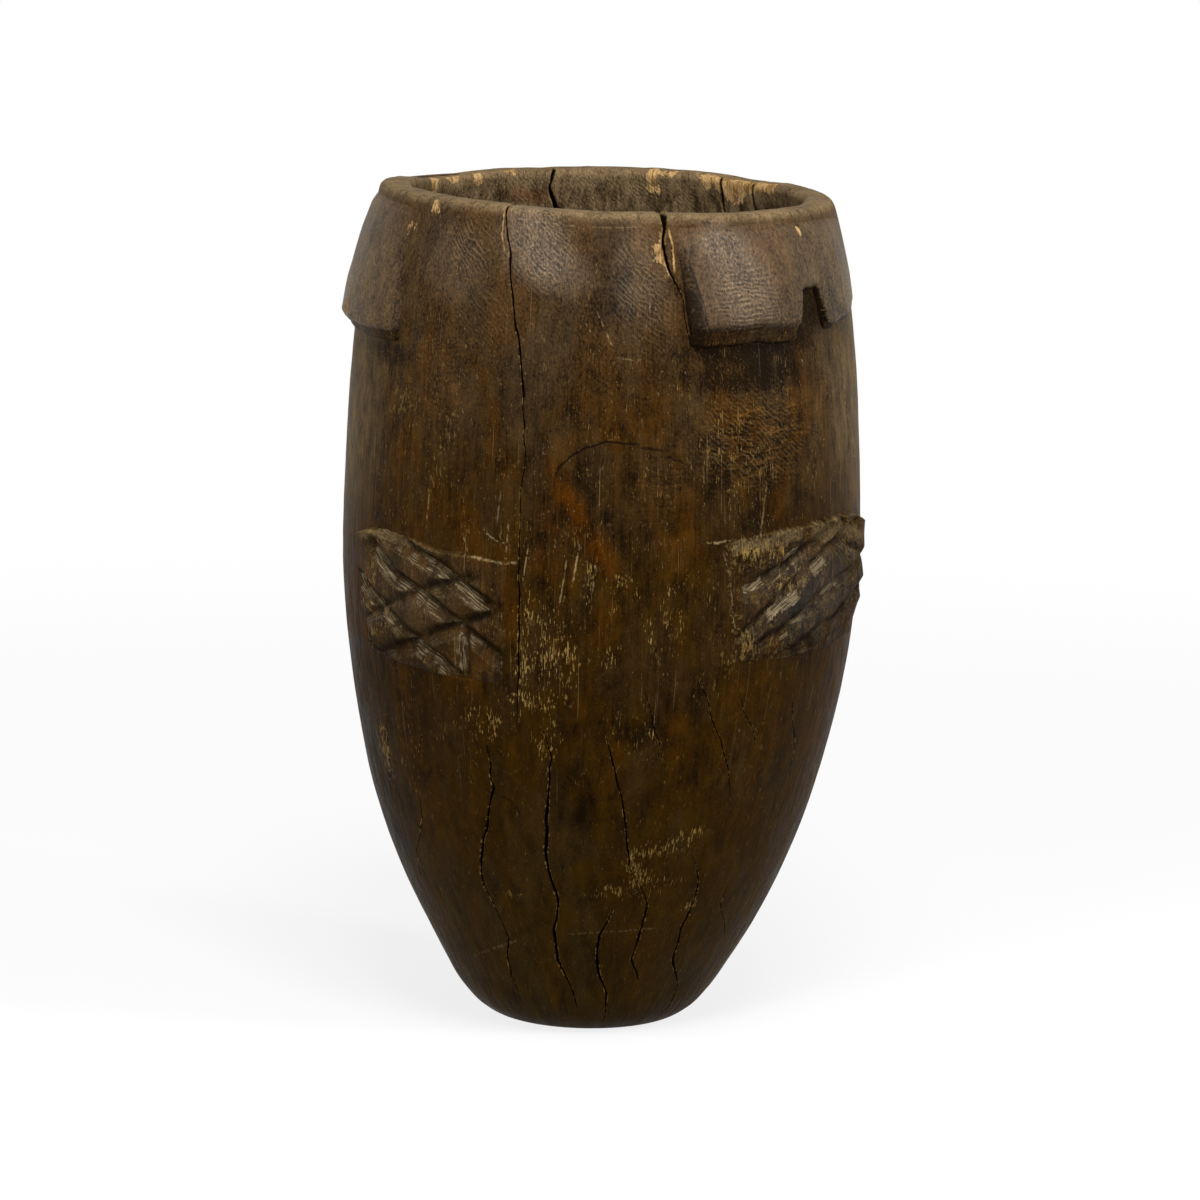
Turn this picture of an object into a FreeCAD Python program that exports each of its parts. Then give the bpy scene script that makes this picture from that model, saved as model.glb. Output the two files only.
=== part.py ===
import FreeCAD, Part

import math
import os

# A milk pail carved from one log: a deep barrel with a small flat foot and an open mouth, a lug
# with two feet under the rim on each side, and four hatched grip panels around the belly.
# Millimetres and degrees. Z is up, the origin is the middle of the foot, and the front is -Y.
# An azimuth is counted from the front, positive towards +X, which is the right seen from the front.

# Driving dimensions of the barrel
HEIGHT = 434.0  # rim above the floor, on the axis
FOOT_RADIUS = 46.0  # flat face that the pail stands on
BELLY_RADIUS = 135.0  # widest place of the plain wall
BELLY_HEIGHT = 250.0
RIM_RADIUS = 116.5  # outside of the wall at the rim
WALL = 16.0  # thickness of the wall, level across
LOWER_WALL = 18.4  # the same below LOWER_WALL_TOP, where the wall slopes
LOWER_WALL_TOP = 175.0
BOTTOM = 38.0  # thickness of the bottom on the axis
HOLLOW_FLOOR = ((35.0, 2.5), (57.0, 14.0))  # radius, and height above the middle of the hollow
LOWEST_WALL = 73.0  # the hollow runs at a wall's thickness inside the barrel from here up
RIM_TILT = 1.2  # the rim was cut a little out of level and is lower on the right
OUTER_LIP = 5.0  # rounding of the rim, outside
INNER_LIP = 3.5  # rounding of the rim, inside

# The barrel is one piece of wood, written as four solids that stand on each other, so that each
# is a plain dish or ring. The panels stand on the belly wall and the lugs on the rim wall.
SECTIONS = {
    # name: (lowest, highest)
    "pail_bottom": (0.0, 70.0),
    "pail_lower_wall": (70.0, 175.0),
    "pail_belly_wall": (175.0, 325.0),
    "pail_rim_wall": (325.0, 450.0),
}

# Share of BELLY_RADIUS at each share of BELLY_HEIGHT, from the foot's rounding up to the belly
BARREL_BELOW = ((0.425, 0.022), (0.490, 0.060), (0.560, 0.122), (0.642, 0.203), (0.746, 0.320),
                (0.843, 0.460), (0.917, 0.620), (0.974, 0.800))
# Drawing in from the belly to the rim: share of the way in, share of the way up
BARREL_ABOVE = ((0.05, 0.22), (0.17, 0.46), (0.31, 0.63), (0.53, 0.80), (0.70, 0.89))

# Lugs: each is a flap left standing on the wall. It grows out of the wall under the rim, flares
# downwards and ends in two feet with a notch between them.
LUG_TOP = 8.0  # from the rim down to where the face starts
LUG_TOP_SHARE = 0.28  # how far the face stands out there, as a share of what it does at the foot
LUG_UNDERCUT = 8.0  # height of the slanted face under the feet
NOTCH_DEPTH = 36.0  # from the rim down to the top of the notch
RIGHT_LUG_FACE = 54.0  # from the rim down to the end of the sloping face
LEFT_LUG_FACE = 70.0
# azimuth and how far the foot stands out there; the wide stretch of the right lug is flat
RIGHT_LUG_FOOT = ((16.5, 8.5), (22.0, 9.6), (44.0, 9.6), (50.0, 7.5), (56.0, 5.5), (63.0, 4.5),
                  (71.0, 4.2), (80.0, 3.8), (89.0, 3.2), (97.0, 2.8))
LEFT_LUG_FOOT = ((-140.0, 5.0), (-131.0, 6.5), (-122.0, 7.2), (-113.0, 7.5), (-104.0, 7.5),
                 (-97.0, 7.5), (-91.0, 7.5), (-82.0, 7.5), (-72.0, 7.2), (-62.0, 6.8), (-54.0, 6.0))
RIGHT_NOTCH = (50.0, 63.0)
LEFT_NOTCH = (-104.0, -91.0)

# Grip panels: raised blocks, hatched with slanting grooves
PANEL_HEIGHT = 66.0
PANEL_PROUD = 5.5  # how far they stand out of the wall on their thick side
PANEL_FADE = 3.0  # they are thinner by this a quarter turn away from their thick side
PANEL_BEVEL = 4.0  # slope of the upper and lower edges
GROOVE_WIDTH = 5.0
GROOVE_DEPTH = 1.8  # at its ends; it is straight, so it is deeper where the panel curves out
PANELS = {
    # name: (start, end, middle height, thick side)
    "front_left_grip_panel": (-65.0, -20.5, 230.0, -70.0),
    "front_right_grip_panel": (28.0, 78.0, 240.0, 80.0),
    "back_right_grip_panel": (118.0, 165.0, 236.0, 110.0),
    "back_left_grip_panel": (-156.0, -110.0, 233.0, -105.0),
}
GROOVE_OVERRUN = 0.06  # share of its length that a groove runs past its two places
GROOVE_STEPS = 3  # lozenges along a panel
GROOVE_RISES = 2.2  # lozenges up a panel

ABOVE = 30.0  # cutting shapes run this far past the rim
BURIED = 1.0  # what stands on the wall starts this far inside it, before the wall is cut away
SMALLEST = 1.0  # cubic millimetres; less than this is a leftover of a cut
AXIS = FreeCAD.Vector(0, 0, 1)
ORIGIN = FreeCAD.Vector(0, 0, 0)


def at(radius, height):
    """A point of an outline, in the XZ plane."""
    return FreeCAD.Vector(radius, 0, height)


def around(azimuth, radius, height):
    """A point in space from its azimuth, radius and height."""
    turn = math.radians(azimuth)
    return FreeCAD.Vector(radius * math.sin(turn), -radius * math.cos(turn), height)


def barrel_points():
    """Radius and height of the wall's outside, from the foot to the rim."""
    points = [(FOOT_RADIUS, 0.0)]
    points += [(BELLY_RADIUS * r, BELLY_HEIGHT * h) for r, h in BARREL_BELOW]
    points += [(BELLY_RADIUS, BELLY_HEIGHT)]
    drawn_in = BELLY_RADIUS - RIM_RADIUS
    rise = HEIGHT - BELLY_HEIGHT
    points += [(BELLY_RADIUS - drawn_in * r, BELLY_HEIGHT + rise * h) for r, h in BARREL_ABOVE]
    points += [(RIM_RADIUS, HEIGHT)]
    return points


def smooth(points):
    """A smooth edge through (radius, height) points that starts level and ends on its last stretch."""
    places = [at(r, h) for r, h in points]
    curve = Part.BSplineCurve()
    curve.interpolate(
        Points=places,
        InitialTangent=at(1, 0),
        FinalTangent=(places[-1] - places[-2]).normalize(),
        Scale=False,
    )
    return curve.toShape()


def turned(edges, shift=ORIGIN):
    """The solid that a closed outline makes when it is turned about the axis, or one beside it."""
    solid = Part.Face(Part.Wire(edges)).revolve(ORIGIN, AXIS, 360)
    solid.translate(shift)
    return solid


def past_the_rim(points):
    """An outline's points with one more, straight on to above the rim."""
    (r0, h0), (r1, h1) = points[-2:]
    lean = (r0 - r1) / (h1 - h0)
    return points + [(r1 - lean * ABOVE, h1 + ABOVE)]


def filled_barrel():
    """The barrel as a full block, carried on above the rim."""
    points = past_the_rim(barrel_points())
    top = points[-1]
    return turned([
        Part.makeLine(at(0, 0), at(FOOT_RADIUS, 0)),
        smooth(points),
        Part.makeLine(at(*top), at(0, top[1])),
        Part.makeLine(at(0, top[1]), at(0, 0)),
    ])


def hollow():
    """The space inside the barrel, open at the top."""
    points = [(0.0, BOTTOM)] + [(r, BOTTOM + h) for r, h in HOLLOW_FLOOR]
    for radius, height in barrel_points():
        if height > LOWEST_WALL:
            wall = LOWER_WALL if height < LOWER_WALL_TOP else WALL
            points.append((radius - wall, height))
    points = past_the_rim(points)
    top = points[-1]
    return turned([
        smooth(points),
        Part.makeLine(at(*top), at(0, top[1])),
        Part.makeLine(at(0, top[1]), at(0, BOTTOM)),
    ])


def over_the_rim():
    """A block that covers all above the tilted rim."""
    side = 4 * BELLY_RADIUS
    block = Part.makeBox(side, side, 2 * ABOVE, FreeCAD.Vector(-side / 2, -side / 2, 0))
    block.rotate(ORIGIN, FreeCAD.Vector(0, 1, 0), RIM_TILT)
    block.translate(FreeCAD.Vector(0, 0, HEIGHT))
    return block


def rim_edge(body, radius):
    """The rim's edge that lies nearest to a radius."""
    high = [e for e in body.Edges if e.BoundBox.ZMin > HEIGHT - WALL]
    return min(high, key=lambda e: abs(e.BoundBox.XLength / 2 - radius))


def barrel():
    """The wall and the bottom, in one piece, with the rounded rim."""
    body = filled_barrel().cut(hollow()).cut(over_the_rim())
    body = body.makeFillet(OUTER_LIP, [rim_edge(body, RIM_RADIUS)])
    return body.makeFillet(INNER_LIP, [rim_edge(body, RIM_RADIUS - WALL)])


def section(whole, low, high):
    """The part of the barrel between two heights."""
    side = 4 * BELLY_RADIUS
    slab = Part.makeBox(side, side, high - low, FreeCAD.Vector(-side / 2, -side / 2, low))
    return whole.common(slab)


def wedge(start, end, low, high):
    """The space between two azimuths and two heights."""
    reach = 2 * BELLY_RADIUS
    middle = (start + end) / 2
    corners = [ORIGIN, around(start, reach, 0), around(middle, reach, 0), around(end, reach, 0)]
    floor = Part.Face(Part.makePolygon(corners + [ORIGIN]))
    prism = floor.extrude(FreeCAD.Vector(0, 0, high - low))
    prism.translate(FreeCAD.Vector(0, 0, low))
    return prism


def radius_at(height):
    """The wall's outer radius at a height, straight between the outline's points."""
    points = barrel_points()
    for (r0, h0), (r1, h1) in zip(points, points[1:]):
        if h0 <= height <= h1:
            return r0 + (r1 - r0) * (height - h0) / (h1 - h0)
    return RIM_RADIUS


def rim_height(azimuth):
    """Height of the tilted rim over an azimuth."""
    return HEIGHT - around(azimuth, RIM_RADIUS, 0).x * math.tan(math.radians(RIM_TILT))


def lug(foot_line, notch_span, face_length):
    """A flap under the rim with two feet and a notch between them."""
    rim = rim_height((foot_line[0][0] + foot_line[-1][0]) / 2)
    top = rim - LUG_TOP
    foot = rim - face_length
    low = foot - LUG_UNDERCUT
    core = radius_at(top) - WALL
    sections = []
    for azimuth, proud in foot_line:
        corners = [
            around(azimuth, core, top),
            around(azimuth, radius_at(top) + proud * LUG_TOP_SHARE, top),
            around(azimuth, radius_at(foot) + proud, foot),
            around(azimuth, radius_at(low) - BURIED, low),
            around(azimuth, core, low),
        ]
        sections.append(Part.makePolygon(corners + corners[:1]))
    flap = Part.makeLoft(sections, True, True)
    notch = wedge(*notch_span, low - BURIED, rim - NOTCH_DEPTH)
    return flap.cut(notch).cut(filled_barrel())


def raised(outline, thick_side, fade, start, end):
    """A band turned from an outline about an axis beside the pail's own, between two azimuths."""
    heights = [h for _, h in outline]
    low, high = min(heights), max(heights)
    core = radius_at(high) - WALL
    path = [at(core, high)] + [at(r - fade, h) for r, h in outline] + [at(core, low), at(core, high)]
    band = turned(Part.makePolygon(path).Edges, around(thick_side, fade, 0))
    return band.common(wedge(start, end, low - BURIED, high + BURIED))


def groove(first, second, thick_side):
    """A V-shaped groove between two (azimuth, height) places on a panel, a little longer."""
    ends = []
    for azimuth, height in (first, second):
        thinner = PANEL_FADE * (1 - math.cos(math.radians(azimuth - thick_side)))
        ends.append(around(azimuth, radius_at(height) + PANEL_PROUD - thinner, height))
    run = ends[1] - ends[0]
    along = FreeCAD.Vector(run).normalize()
    across = along.cross(around((first[0] + second[0]) / 2, 1.0, 0.0)).normalize()
    out = across.cross(along).normalize()
    start = ends[0] - run * GROOVE_OVERRUN
    root = start - out * GROOVE_DEPTH
    lip = start + out * GROOVE_DEPTH
    profile = Part.Face(Part.makePolygon([
        root, lip + across * GROOVE_WIDTH, lip - across * GROOVE_WIDTH, root
    ]))
    return profile.extrude(run * (1 + 2 * GROOVE_OVERRUN))


def panel(start, end, middle, thick_side):
    """A raised block with crossing grooves."""
    low = middle - PANEL_HEIGHT / 2
    high = middle + PANEL_HEIGHT / 2
    outline = [
        (radius_at(high) - BURIED, high),
        (radius_at(high) + PANEL_PROUD, high - PANEL_BEVEL),
        (radius_at(middle) + PANEL_PROUD, middle),
        (radius_at(low) + PANEL_PROUD, low + PANEL_BEVEL),
        (radius_at(low) - BURIED, low),
    ]
    block = raised(outline, thick_side, PANEL_FADE, start, end)
    step = (end - start) / GROOVE_STEPS
    rise = PANEL_HEIGHT / GROOVE_RISES
    cuts = []
    for column in range(-1, GROOVE_STEPS + 1):
        for row in range(-1, math.ceil(GROOVE_RISES) + 1):
            here = (start + step * column, low + rise * row)
            there = (here[0] + step, here[1] + rise)
            cuts.append(groove(here, there, thick_side))
            cuts.append(groove((here[0], there[1]), (there[0], here[1]), thick_side))
    near = [c for c in cuts if c.BoundBox.intersect(block.BoundBox)]
    return block.cut(near).cut(filled_barrel())


def save(name, shape):
    """Writes a sub-part's solids, and prints what they measure."""
    solids = [s for s in shape.Solids if s.Volume > SMALLEST]
    whole = solids[0] if len(solids) == 1 else Part.makeCompound(solids)
    box = whole.BoundBox
    print(
        f"{name}: {len(solids)} solids, {len(whole.Faces)} faces, {whole.Volume / 1000:.1f} cm3, "
        f"valid {whole.isValid()}, {box.XLength:.1f} x {box.YLength:.1f} x {box.ZLength:.1f} mm"
    )
    whole.exportStep(f"parts/{name}.step")


os.makedirs("parts", exist_ok=True)
carved_barrel = barrel()
for section_name, span in SECTIONS.items():
    save(section_name, section(carved_barrel, *span))
save("right_rim_lug", lug(RIGHT_LUG_FOOT, RIGHT_NOTCH, RIGHT_LUG_FACE))
save("left_rim_lug", lug(LEFT_LUG_FOOT, LEFT_NOTCH, LEFT_LUG_FACE))
for panel_name, panel_place in PANELS.items():
    save(panel_name, panel(*panel_place))
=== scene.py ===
import math

import bpy
import numpy as np
from mathutils import Matrix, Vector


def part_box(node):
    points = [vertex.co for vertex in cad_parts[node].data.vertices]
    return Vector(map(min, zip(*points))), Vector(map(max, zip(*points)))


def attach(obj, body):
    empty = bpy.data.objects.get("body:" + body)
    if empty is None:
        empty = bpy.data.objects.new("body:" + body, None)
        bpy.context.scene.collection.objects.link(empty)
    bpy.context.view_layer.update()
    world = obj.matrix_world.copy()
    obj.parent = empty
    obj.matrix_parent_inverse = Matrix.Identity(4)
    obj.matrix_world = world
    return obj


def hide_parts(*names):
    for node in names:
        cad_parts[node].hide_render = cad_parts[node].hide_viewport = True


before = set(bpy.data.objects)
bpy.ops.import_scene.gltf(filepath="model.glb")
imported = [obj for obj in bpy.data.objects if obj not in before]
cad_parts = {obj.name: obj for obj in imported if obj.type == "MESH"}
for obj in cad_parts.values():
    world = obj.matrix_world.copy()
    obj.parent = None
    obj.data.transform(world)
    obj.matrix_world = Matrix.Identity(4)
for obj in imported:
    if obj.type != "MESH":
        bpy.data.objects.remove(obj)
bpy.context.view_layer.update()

# A milk pail carved from one log, dressed around its plain solids.
# Millimetres and degrees, turned into metres where a mesh, lamp or camera is made. Z is up, the
# front is -Y, and an azimuth is counted from the front, positive towards +X.
MM = 0.001

# Barrel, after the solids
belly_low, belly_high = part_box("pail_belly_wall")
BELLY_RADIUS = (belly_high.x - belly_low.x) / 2 / MM
BELLY_HEIGHT = 250.0
RIM_HEIGHT = 434.0
RIM_RADIUS = 116.5
FOOT_RADIUS = 46.0
WALL = 16.0
LOWER_WALL = 18.4
LOWER_WALL_TOP = 175.0
LOWEST_WALL = 73.0
HOLLOW = ((0.0, 38.0), (35.0, 40.5), (57.0, 52.0))  # radius and height of the hollow's floor
RIM_TILT = 1.2  # the rim is higher on the left
RIM_WAVE = 1.6
RIM_BACK = 1.6  # how much higher the rim is behind
TILT_START = 380.0  # height from which the wall follows the rim's tilt
OUTER_LIP = 4.2
INNER_LIP = 3.5
ABOVE = 30.0
# the log's slight bow to the side, by height
BOW = ((0.0, -2.4), (20.0, -2.4), (50.0, -1.0), (130.0, -0.6), (190.0, 0.8), (250.0, 1.3),
       (345.0, 1.2), (380.0, 0.6), (434.0, 0.3))
# shares of BELLY_RADIUS and BELLY_HEIGHT, then of the way in and the way up to the rim
BARREL_BELOW = ((0.425, 0.022), (0.490, 0.060), (0.560, 0.122), (0.642, 0.203), (0.746, 0.320),
                (0.843, 0.460), (0.917, 0.620), (0.974, 0.800))
BARREL_ABOVE = ((0.05, 0.22), (0.17, 0.46), (0.31, 0.63), (0.53, 0.80), (0.70, 0.89))

# Mesh steps
WALL_STEP = 1.5
HIDDEN_STEP = 4.0
FRONT_STEP = 0.66  # degrees between columns that the photograph shows
BACK_STEP = 0.95
FRONT_SIDE = 100.0  # azimuth up to which the columns are close

# Unevenness of the carved wall: size of the bumps, how far they stand out
WALL_BUMPS = ((70.0, 0.45), (24.0, 0.22), (8.0, 0.07))

# Drying cracks: azimuth, height and width along each. A height above the rim's runs on inside,
# downwards. A crack whose width is 0 has closed there.
CRACKS = {
    "far_left": ((-57.5, 172, 0), (-58.5, 160, 0.5), (-60.1, 144, 0.6), (-64, 121, 0)),
    "left": ((-43.8, 166, 0), (-46, 156, 0.4), (-47.3, 149, 0), (-49, 130, 0), (-49.6, 116, 0.7),
             (-53, 105, 0.4), (-57.3, 96, 0.3), (-60.9, 78, 0)),
    "left_low": ((-25.8, 166, 0), (-25.4, 155, 0.5), (-24.7, 141, 0.8), (-28.1, 117, 0.9),
                 (-31.4, 98, 0.8), (-31.8, 85, 0.7), (-29.6, 74, 0.4), (-28.4, 62, 0.2),
                 (-27.9, 55, 0.6), (-30.3, 45, 0.7), (-30.5, 33, 0.5), (-28.6, 19, 0)),
    "rim_left": ((-26.5, 470, 0), (-25.6, 450, 0.6), (-24.9, 434, 0.9), (-24.9, 430, 0.5),
                 (-23, 414, 0.7), (-20.9, 390, 0.7), (-18.8, 366, 0.8), (-17.8, 341, 0.5),
                 (-17, 321, 0.3), (-17.2, 300, 0.2), (-17.4, 281, 0.2), (-17.3, 241, 0.5),
                 (-17.7, 200, 0.6), (-17.7, 178, 0)),
    "middle_left": ((-12.4, 180, 0), (-10.1, 158, 0.5), (-10.8, 137, 0.8), (-11.9, 109, 1.0),
                    (-11.1, 92, 0.8), (-9, 78, 0.7), (-11.1, 63, 0.9), (-10.8, 45, 0.8),
                    (-5.2, 27, 0.5), (-3, 14, 0)),
    "middle_low": ((-1.0, 140, 0), (2.0, 100, 0), (6.7, 77, 0), (6, 70, 0.6), (3.5, 61, 0.6),
                   (2.5, 49, 0.8), (4.4, 37, 0.8), (8.7, 24, 0.6), (9.5, 12, 0.3), (9.5, 6, 0)),
    "middle": ((2.1, 176, 0), (4.1, 159, 0.5), (6.9, 138, 0.6), (9, 116, 0.6), (10.4, 100, 0.6),
               (14, 90, 0.2), (17.4, 78, 0.5), (16.2, 61, 0.7), (15.1, 46, 0.7), (21.3, 30, 0.6),
               (24.1, 14, 0)),
    "rim_right": ((13.8, 470, 0), (14.4, 452, 1.0), (14.6, 438, 2.8), (14.6, 434, 2.8),
                  (14.2, 428, 1.0), (13.8, 422, 0.9), (14.1, 414, 1.1), (14.9, 408, 0.9),
                  (16.1, 402, 0.7), (18, 392, 0.4), (18.8, 377, 0.3), (19.6, 362, 0),
                  (9.7, 200, 0), (12, 184, 0.4), (12.9, 178, 0.4), (17.5, 151, 0), (20.5, 100, 0)),
    "right_of_middle": ((22.4, 340, 0), (22.4, 205, 0), (23.4, 198, 0.3), (27.3, 179, 0.5),
                        (33.5, 151, 0.4), (36.5, 132, 0), (26.6, 110, 0), (31.7, 90, 0.5),
                        (32.2, 79, 0.6), (30.8, 62, 0.8), (31.8, 43, 0.8), (40.1, 27, 0.5),
                        (43.3, 8, 0)),
    "right_low": ((31, 340, 0), (32.7, 196, 0), (35, 182, 0.3), (38.8, 171, 0.4), (41.7, 158, 0),
                  (42.5, 110, 0), (43.0, 86, 0), (43.5, 73, 0.4), (54.4, 50, 0)),
    "right": ((50, 300, 0), (49.9, 186, 0), (52, 172, 0.4), (55.2, 161, 0.4), (57, 136, 0)),
    "far_right": ((66.5, 372, 0), (68.1, 352, 0.4), (70.2, 323, 0.5), (75, 305, 0.5),
                  (79, 286, 0), (86, 60, 0)),
    "side_right": ((77, 366, 0), (79, 345, 0.6), (80, 322, 0.5), (86, 300, 0.3), (90, 280, 0)),
    "back_right": ((112, 180, 0), (109, 150, 0.5), (112, 120, 0.8), (108, 92, 0.6), (113, 60, 0.4),
                   (116, 40, 0)),
    "inside_right": ((126, 160, 0), (130, 432, 0), (130, 438, 1.0), (131, 460, 1.2),
                     (129, 490, 0.8), (130, 540, 0)),
    "inside_middle": ((141, 300, 0), (143, 432, 0), (144, 438, 0.9), (143, 460, 1.1),
                      (144, 500, 0.7), (143, 560, 0)),
    "back_middle": ((157, 190, 0), (160, 165, 0.5), (156, 130, 0.9), (160, 96, 0.7), (163, 70, 0.5),
                    (160, 46, 0.7), (166, 22, 0)),
    "back": ((-178, 434, 0), (-175, 400, 0.5), (-177, 360, 0.6), (-174, 330, 0.3), (-176, 300, 0),
             (-172, 170, 0), (-171, 150, 0.6), (-175, 110, 0.9), (-170, 80, 0.6), (-172, 50, 0)),
    "inside_left": ((-160, 300, 0), (-160, 431, 0), (-163, 436, 0.9), (-164.5, 446, 1.4),
                    (-162.5, 456, 0.9), (-165, 466, 1.6), (-168, 480, 1.7), (-170, 520, 0.8),
                    (-169, 580, 0)),
    "back_left": ((-148, 185, 0), (-150, 150, 0.7), (-145, 112, 0.8), (-149, 84, 0.5),
                  (-147, 60, 0)),
    "side_left": ((-122, 190, 0), (-119, 160, 0.4), (-124, 125, 0.7), (-120, 90, 0.7),
                  (-127, 55, 0)),
    "left_side": ((-95, 180, 0), (-97, 150, 0.5), (-94, 120, 0.7), (-99, 92, 0.4), (-97, 70, 0)),
}
CRACK_DEPTH = 3.4  # times its width
DEEPEST_CRACK = 7.0
CRACK_EDGE = 0.2  # half width of a crack's columns where it has closed
CRACK_WIDER = 1.15
CRACK_WOBBLE = 0.35  # degrees
WOBBLE_LENGTH = 7.0
CRACK_UNEVEN = 0.35  # share by which the width varies
UNEVEN_LENGTH = 5.0
CRACK_APART = 97.0  # keeps the wobble of one crack from matching the next one's
DARK_CRACK = 0.28  # a crack this wide is fully dark
CRACK_ROOM = 0.5  # degrees on either side of a crack that its own columns fill
# a crack's columns as shares of its half width, their depth, how dark they are and how much pale
# splinters show on them
CRACK_COLUMNS = ((-2.8, 0.0, 0.0, 0.0), (-1.8, 0.0, 0.0, 1.0), (-1.0, 0.3, 0.9, 0.0),
                 (-0.6, 0.8, 1.0, 0.0), (0.0, 1.0, 1.0, 0.0), (0.6, 0.8, 1.0, 0.0),
                 (1.0, 0.3, 0.9, 0.0), (1.8, 0.0, 0.0, 0.8), (2.8, 0.0, 0.0, 0.0))
CRACK_REACH = CRACK_COLUMNS[-1][0]

# Lugs. Along the azimuth: how far the foot stands out, how far down from the rim the face ends, how
# tall the slanted band under it is, and how many degrees further left that column is at the rim.
# Then the notch's sides, the painted shade on the far foot, in the creases and on the sides, the
# face's gloss, which also paints a sheen into the colour, and the slope of its ripples.
RIGHT_LUG = {
    "foot_line": ((18.6, -1.5), (19.3, 1.5), (20.4, 6.0), (21.3, 9.4), (21.9, 10.0), (23.4, 10.7),
                  (27.0, 9.7), (33.0, 8.5), (39.0, 8.3), (44.0, 9.0), (48.4, 9.2), (51.0, 7.0),
                  (57.0, 5.0), (63.0, 4.8), (69.0, 4.6), (74.0, 3.2), (80.0, 1.8), (89.0, 1.0),
                  (96.0, 0.6), (98.5, -1.5)),
    "rows": ((17, 51.0), (47, 51.5), (56, 54.0), (62, 54.5), (72, 52.5), (80, 50.0), (98, 47.0)),
    "band": ((17, 10.0), (47, 9.5), (58, 3.5), (98, 3.0)),
    "lean": ((18.6, 2.2), (21.6, 3.6), (23.4, -0.6), (30.0, 0.0)),
    "notch": (46.2, 59.2),
    "far_shade": 0.45,
    "shade": 0.5,
    "side": 1.1,
    "gloss": 0.3,
    "ripple_slope": 2.0,
}
LEFT_LUG = {
    "foot_line": ((-142.0, -1.5), (-139.0, 5.0), (-131.0, 6.5), (-122.0, 7.2), (-104.0, 7.5),
                  (-91.0, 7.5), (-82.0, 7.5), (-72.0, 7.0), (-62.0, 6.2), (-57.5, 5.0),
                  (-54.5, 2.4), (-52.2, -1.5)),
    "rows": ((-142, 65.0), (-90, 65.0), (-60, 66.5), (-52, 66.5)),
    "band": ((-142, 4.5), (-90, 4.5), (-60, 6.0)),
    "lean": ((-64.0, 0.0), (-56.0, 3.0), (-48.0, 0.0)),
    "notch": (-104.0, -91.0),
    "far_shade": 0.0,
    "shade": 0.12,
    "side": 0.35,
    "gloss": 0.3,
    "ripple_slope": -60.0,
}
NOTCH_DEPTH = 36.0
NOTCH_SIDE = 3.0  # degrees over which a notch's side rises
NOTCH_STEP = 0.16
NOTCH_BAND = 0.55  # how much shorter the slanted face is in a notch
NOTCH_SHADE = 0.5
CORNER_STEP = 0.25  # degrees between a turn of the foot line and its neighbours
LEAST_STEP = 0.12
LUG_ROWS = 44
BAND_ROWS = 8
LUG_START = 2.0  # from the rim down to where a lug comes out of the wall
LUG_SHOULDER = 12.0
LUG_SHOULDER_SHARE = 0.30
LUG_SINK = 0.9
LUG_ROUND = 1.8  # rounding of the lower edge
# the rounding's rows, then those that close the slanted face at its lower end: how far down, as
# shares of LUG_ROUND, and how far in, as a share and in millimetres
LUG_EDGE = ((0.5, 0.1), (1.0, 0.35), (1.4, 0.75))
BAND_START = 0.25
BAND_END = ((0.6, 0.5), (1.0, 1.5))
BAND_SHARE = 0.45  # how far the slanted face under the foot still stands out at its lower end
UNDER_BAND = 1.2
SUNK_END = -1.0
BURIED = 6.0  # how deep a lug or panel reaches into the wall
LUG_BUMPS = ((26.0, 0.45), (9.0, 0.28))
FOOT_WAVES = ((16.0, 0.9), (5.0, 0.45))
LUG_WEAR = 0.35
WORN_PLACE = 2.0  # how far an edge stands out where its wear is full
EDGE_ROWS = 1.6  # rows over which the wear fades on either side of the edge
FACE_SHOWN = (-1.0, 1.5)  # how far out a lug's face is where it comes in and where it is full
STEEP_FOOT = (0.7, 1.4)  # slopes of the foot line, in millimetres a degree, that make a side of it
CREASE_PLACE = 6.0  # how far out a lug has lost the crease along its sides
LUG_LIP = 0.5
LUG_LIP_FADE = 4.0
LUG_UNDER = 0.5  # painted shade on the slanted face under a foot
# degrees beyond the notch over which the far foot's shade ends
FAR_FOOT = (8.0, 16.0)
# heights below the rim between which shades of a lug come in
CREASE_FADE = (10.0, 22.0)
SIDE_FADE = (12.0, 40.0)
FAR_FADE = (24.0, 44.0)

# Grip panels
PANEL_STEP = 0.7
PANEL_EDGE = 2.2  # width of the shoulder along a panel's border
PANEL_POCKET = 3.0  # depth of the hidden recess in the wall behind a panel
POCKET_INSET = 2.8
GENTLE = 8.0  # width of a groove's slope on its lower side
STEEP = 3.6
DEEPER = 1.6
GROOVE_CURVE = 1.15
CREST_PLACE = 0.9  # where a groove's raised edge lies, as a share of its gentle slope
CREST_WIDTH = 1.1
# where the painted shade in a groove lies and how wide it is, in millimetres across it
DARK_PLACE = 0.4
DARK_WIDTH = 2.8
RISING_CHISELLED = 0.25
PANEL_BUMPS = ((11.0, 0.55), (4.5, 0.32))
LEAST_BUMPS = 0.25  # share of the bumps that an unworn panel has
PANEL_DEEPER = 2.0  # how much deeper in the wall than a lug's the back of a panel is
FLOOR_SLOPE = 0.6
PANEL_SUNK = 0.4  # how far a panel's border lies under the wall's surface
PANEL_FLUSH = 0.12  # least height over the wall near the border, where the wall has no recess
PANEL_LOWEST = -2.3
PANEL_BACK = (0.33, 0.67)  # heights of the middle rows behind, as shares of the panel's
THINNED_FROM = -10.0  # from the lower border, where a panel that thins out would reach the wall
GROOVE_WANDER = 0.9
LEAST_WANDER = 0.6
WANDER_LENGTH = 9.0
GROOVE_CHATTER = 0.3
CHATTER_LENGTH = 2.5
GROOVE_SHADE = 0.6
BLOTCH_LENGTH = 6.0
LEAST_BLOTCHES = 0.5
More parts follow.
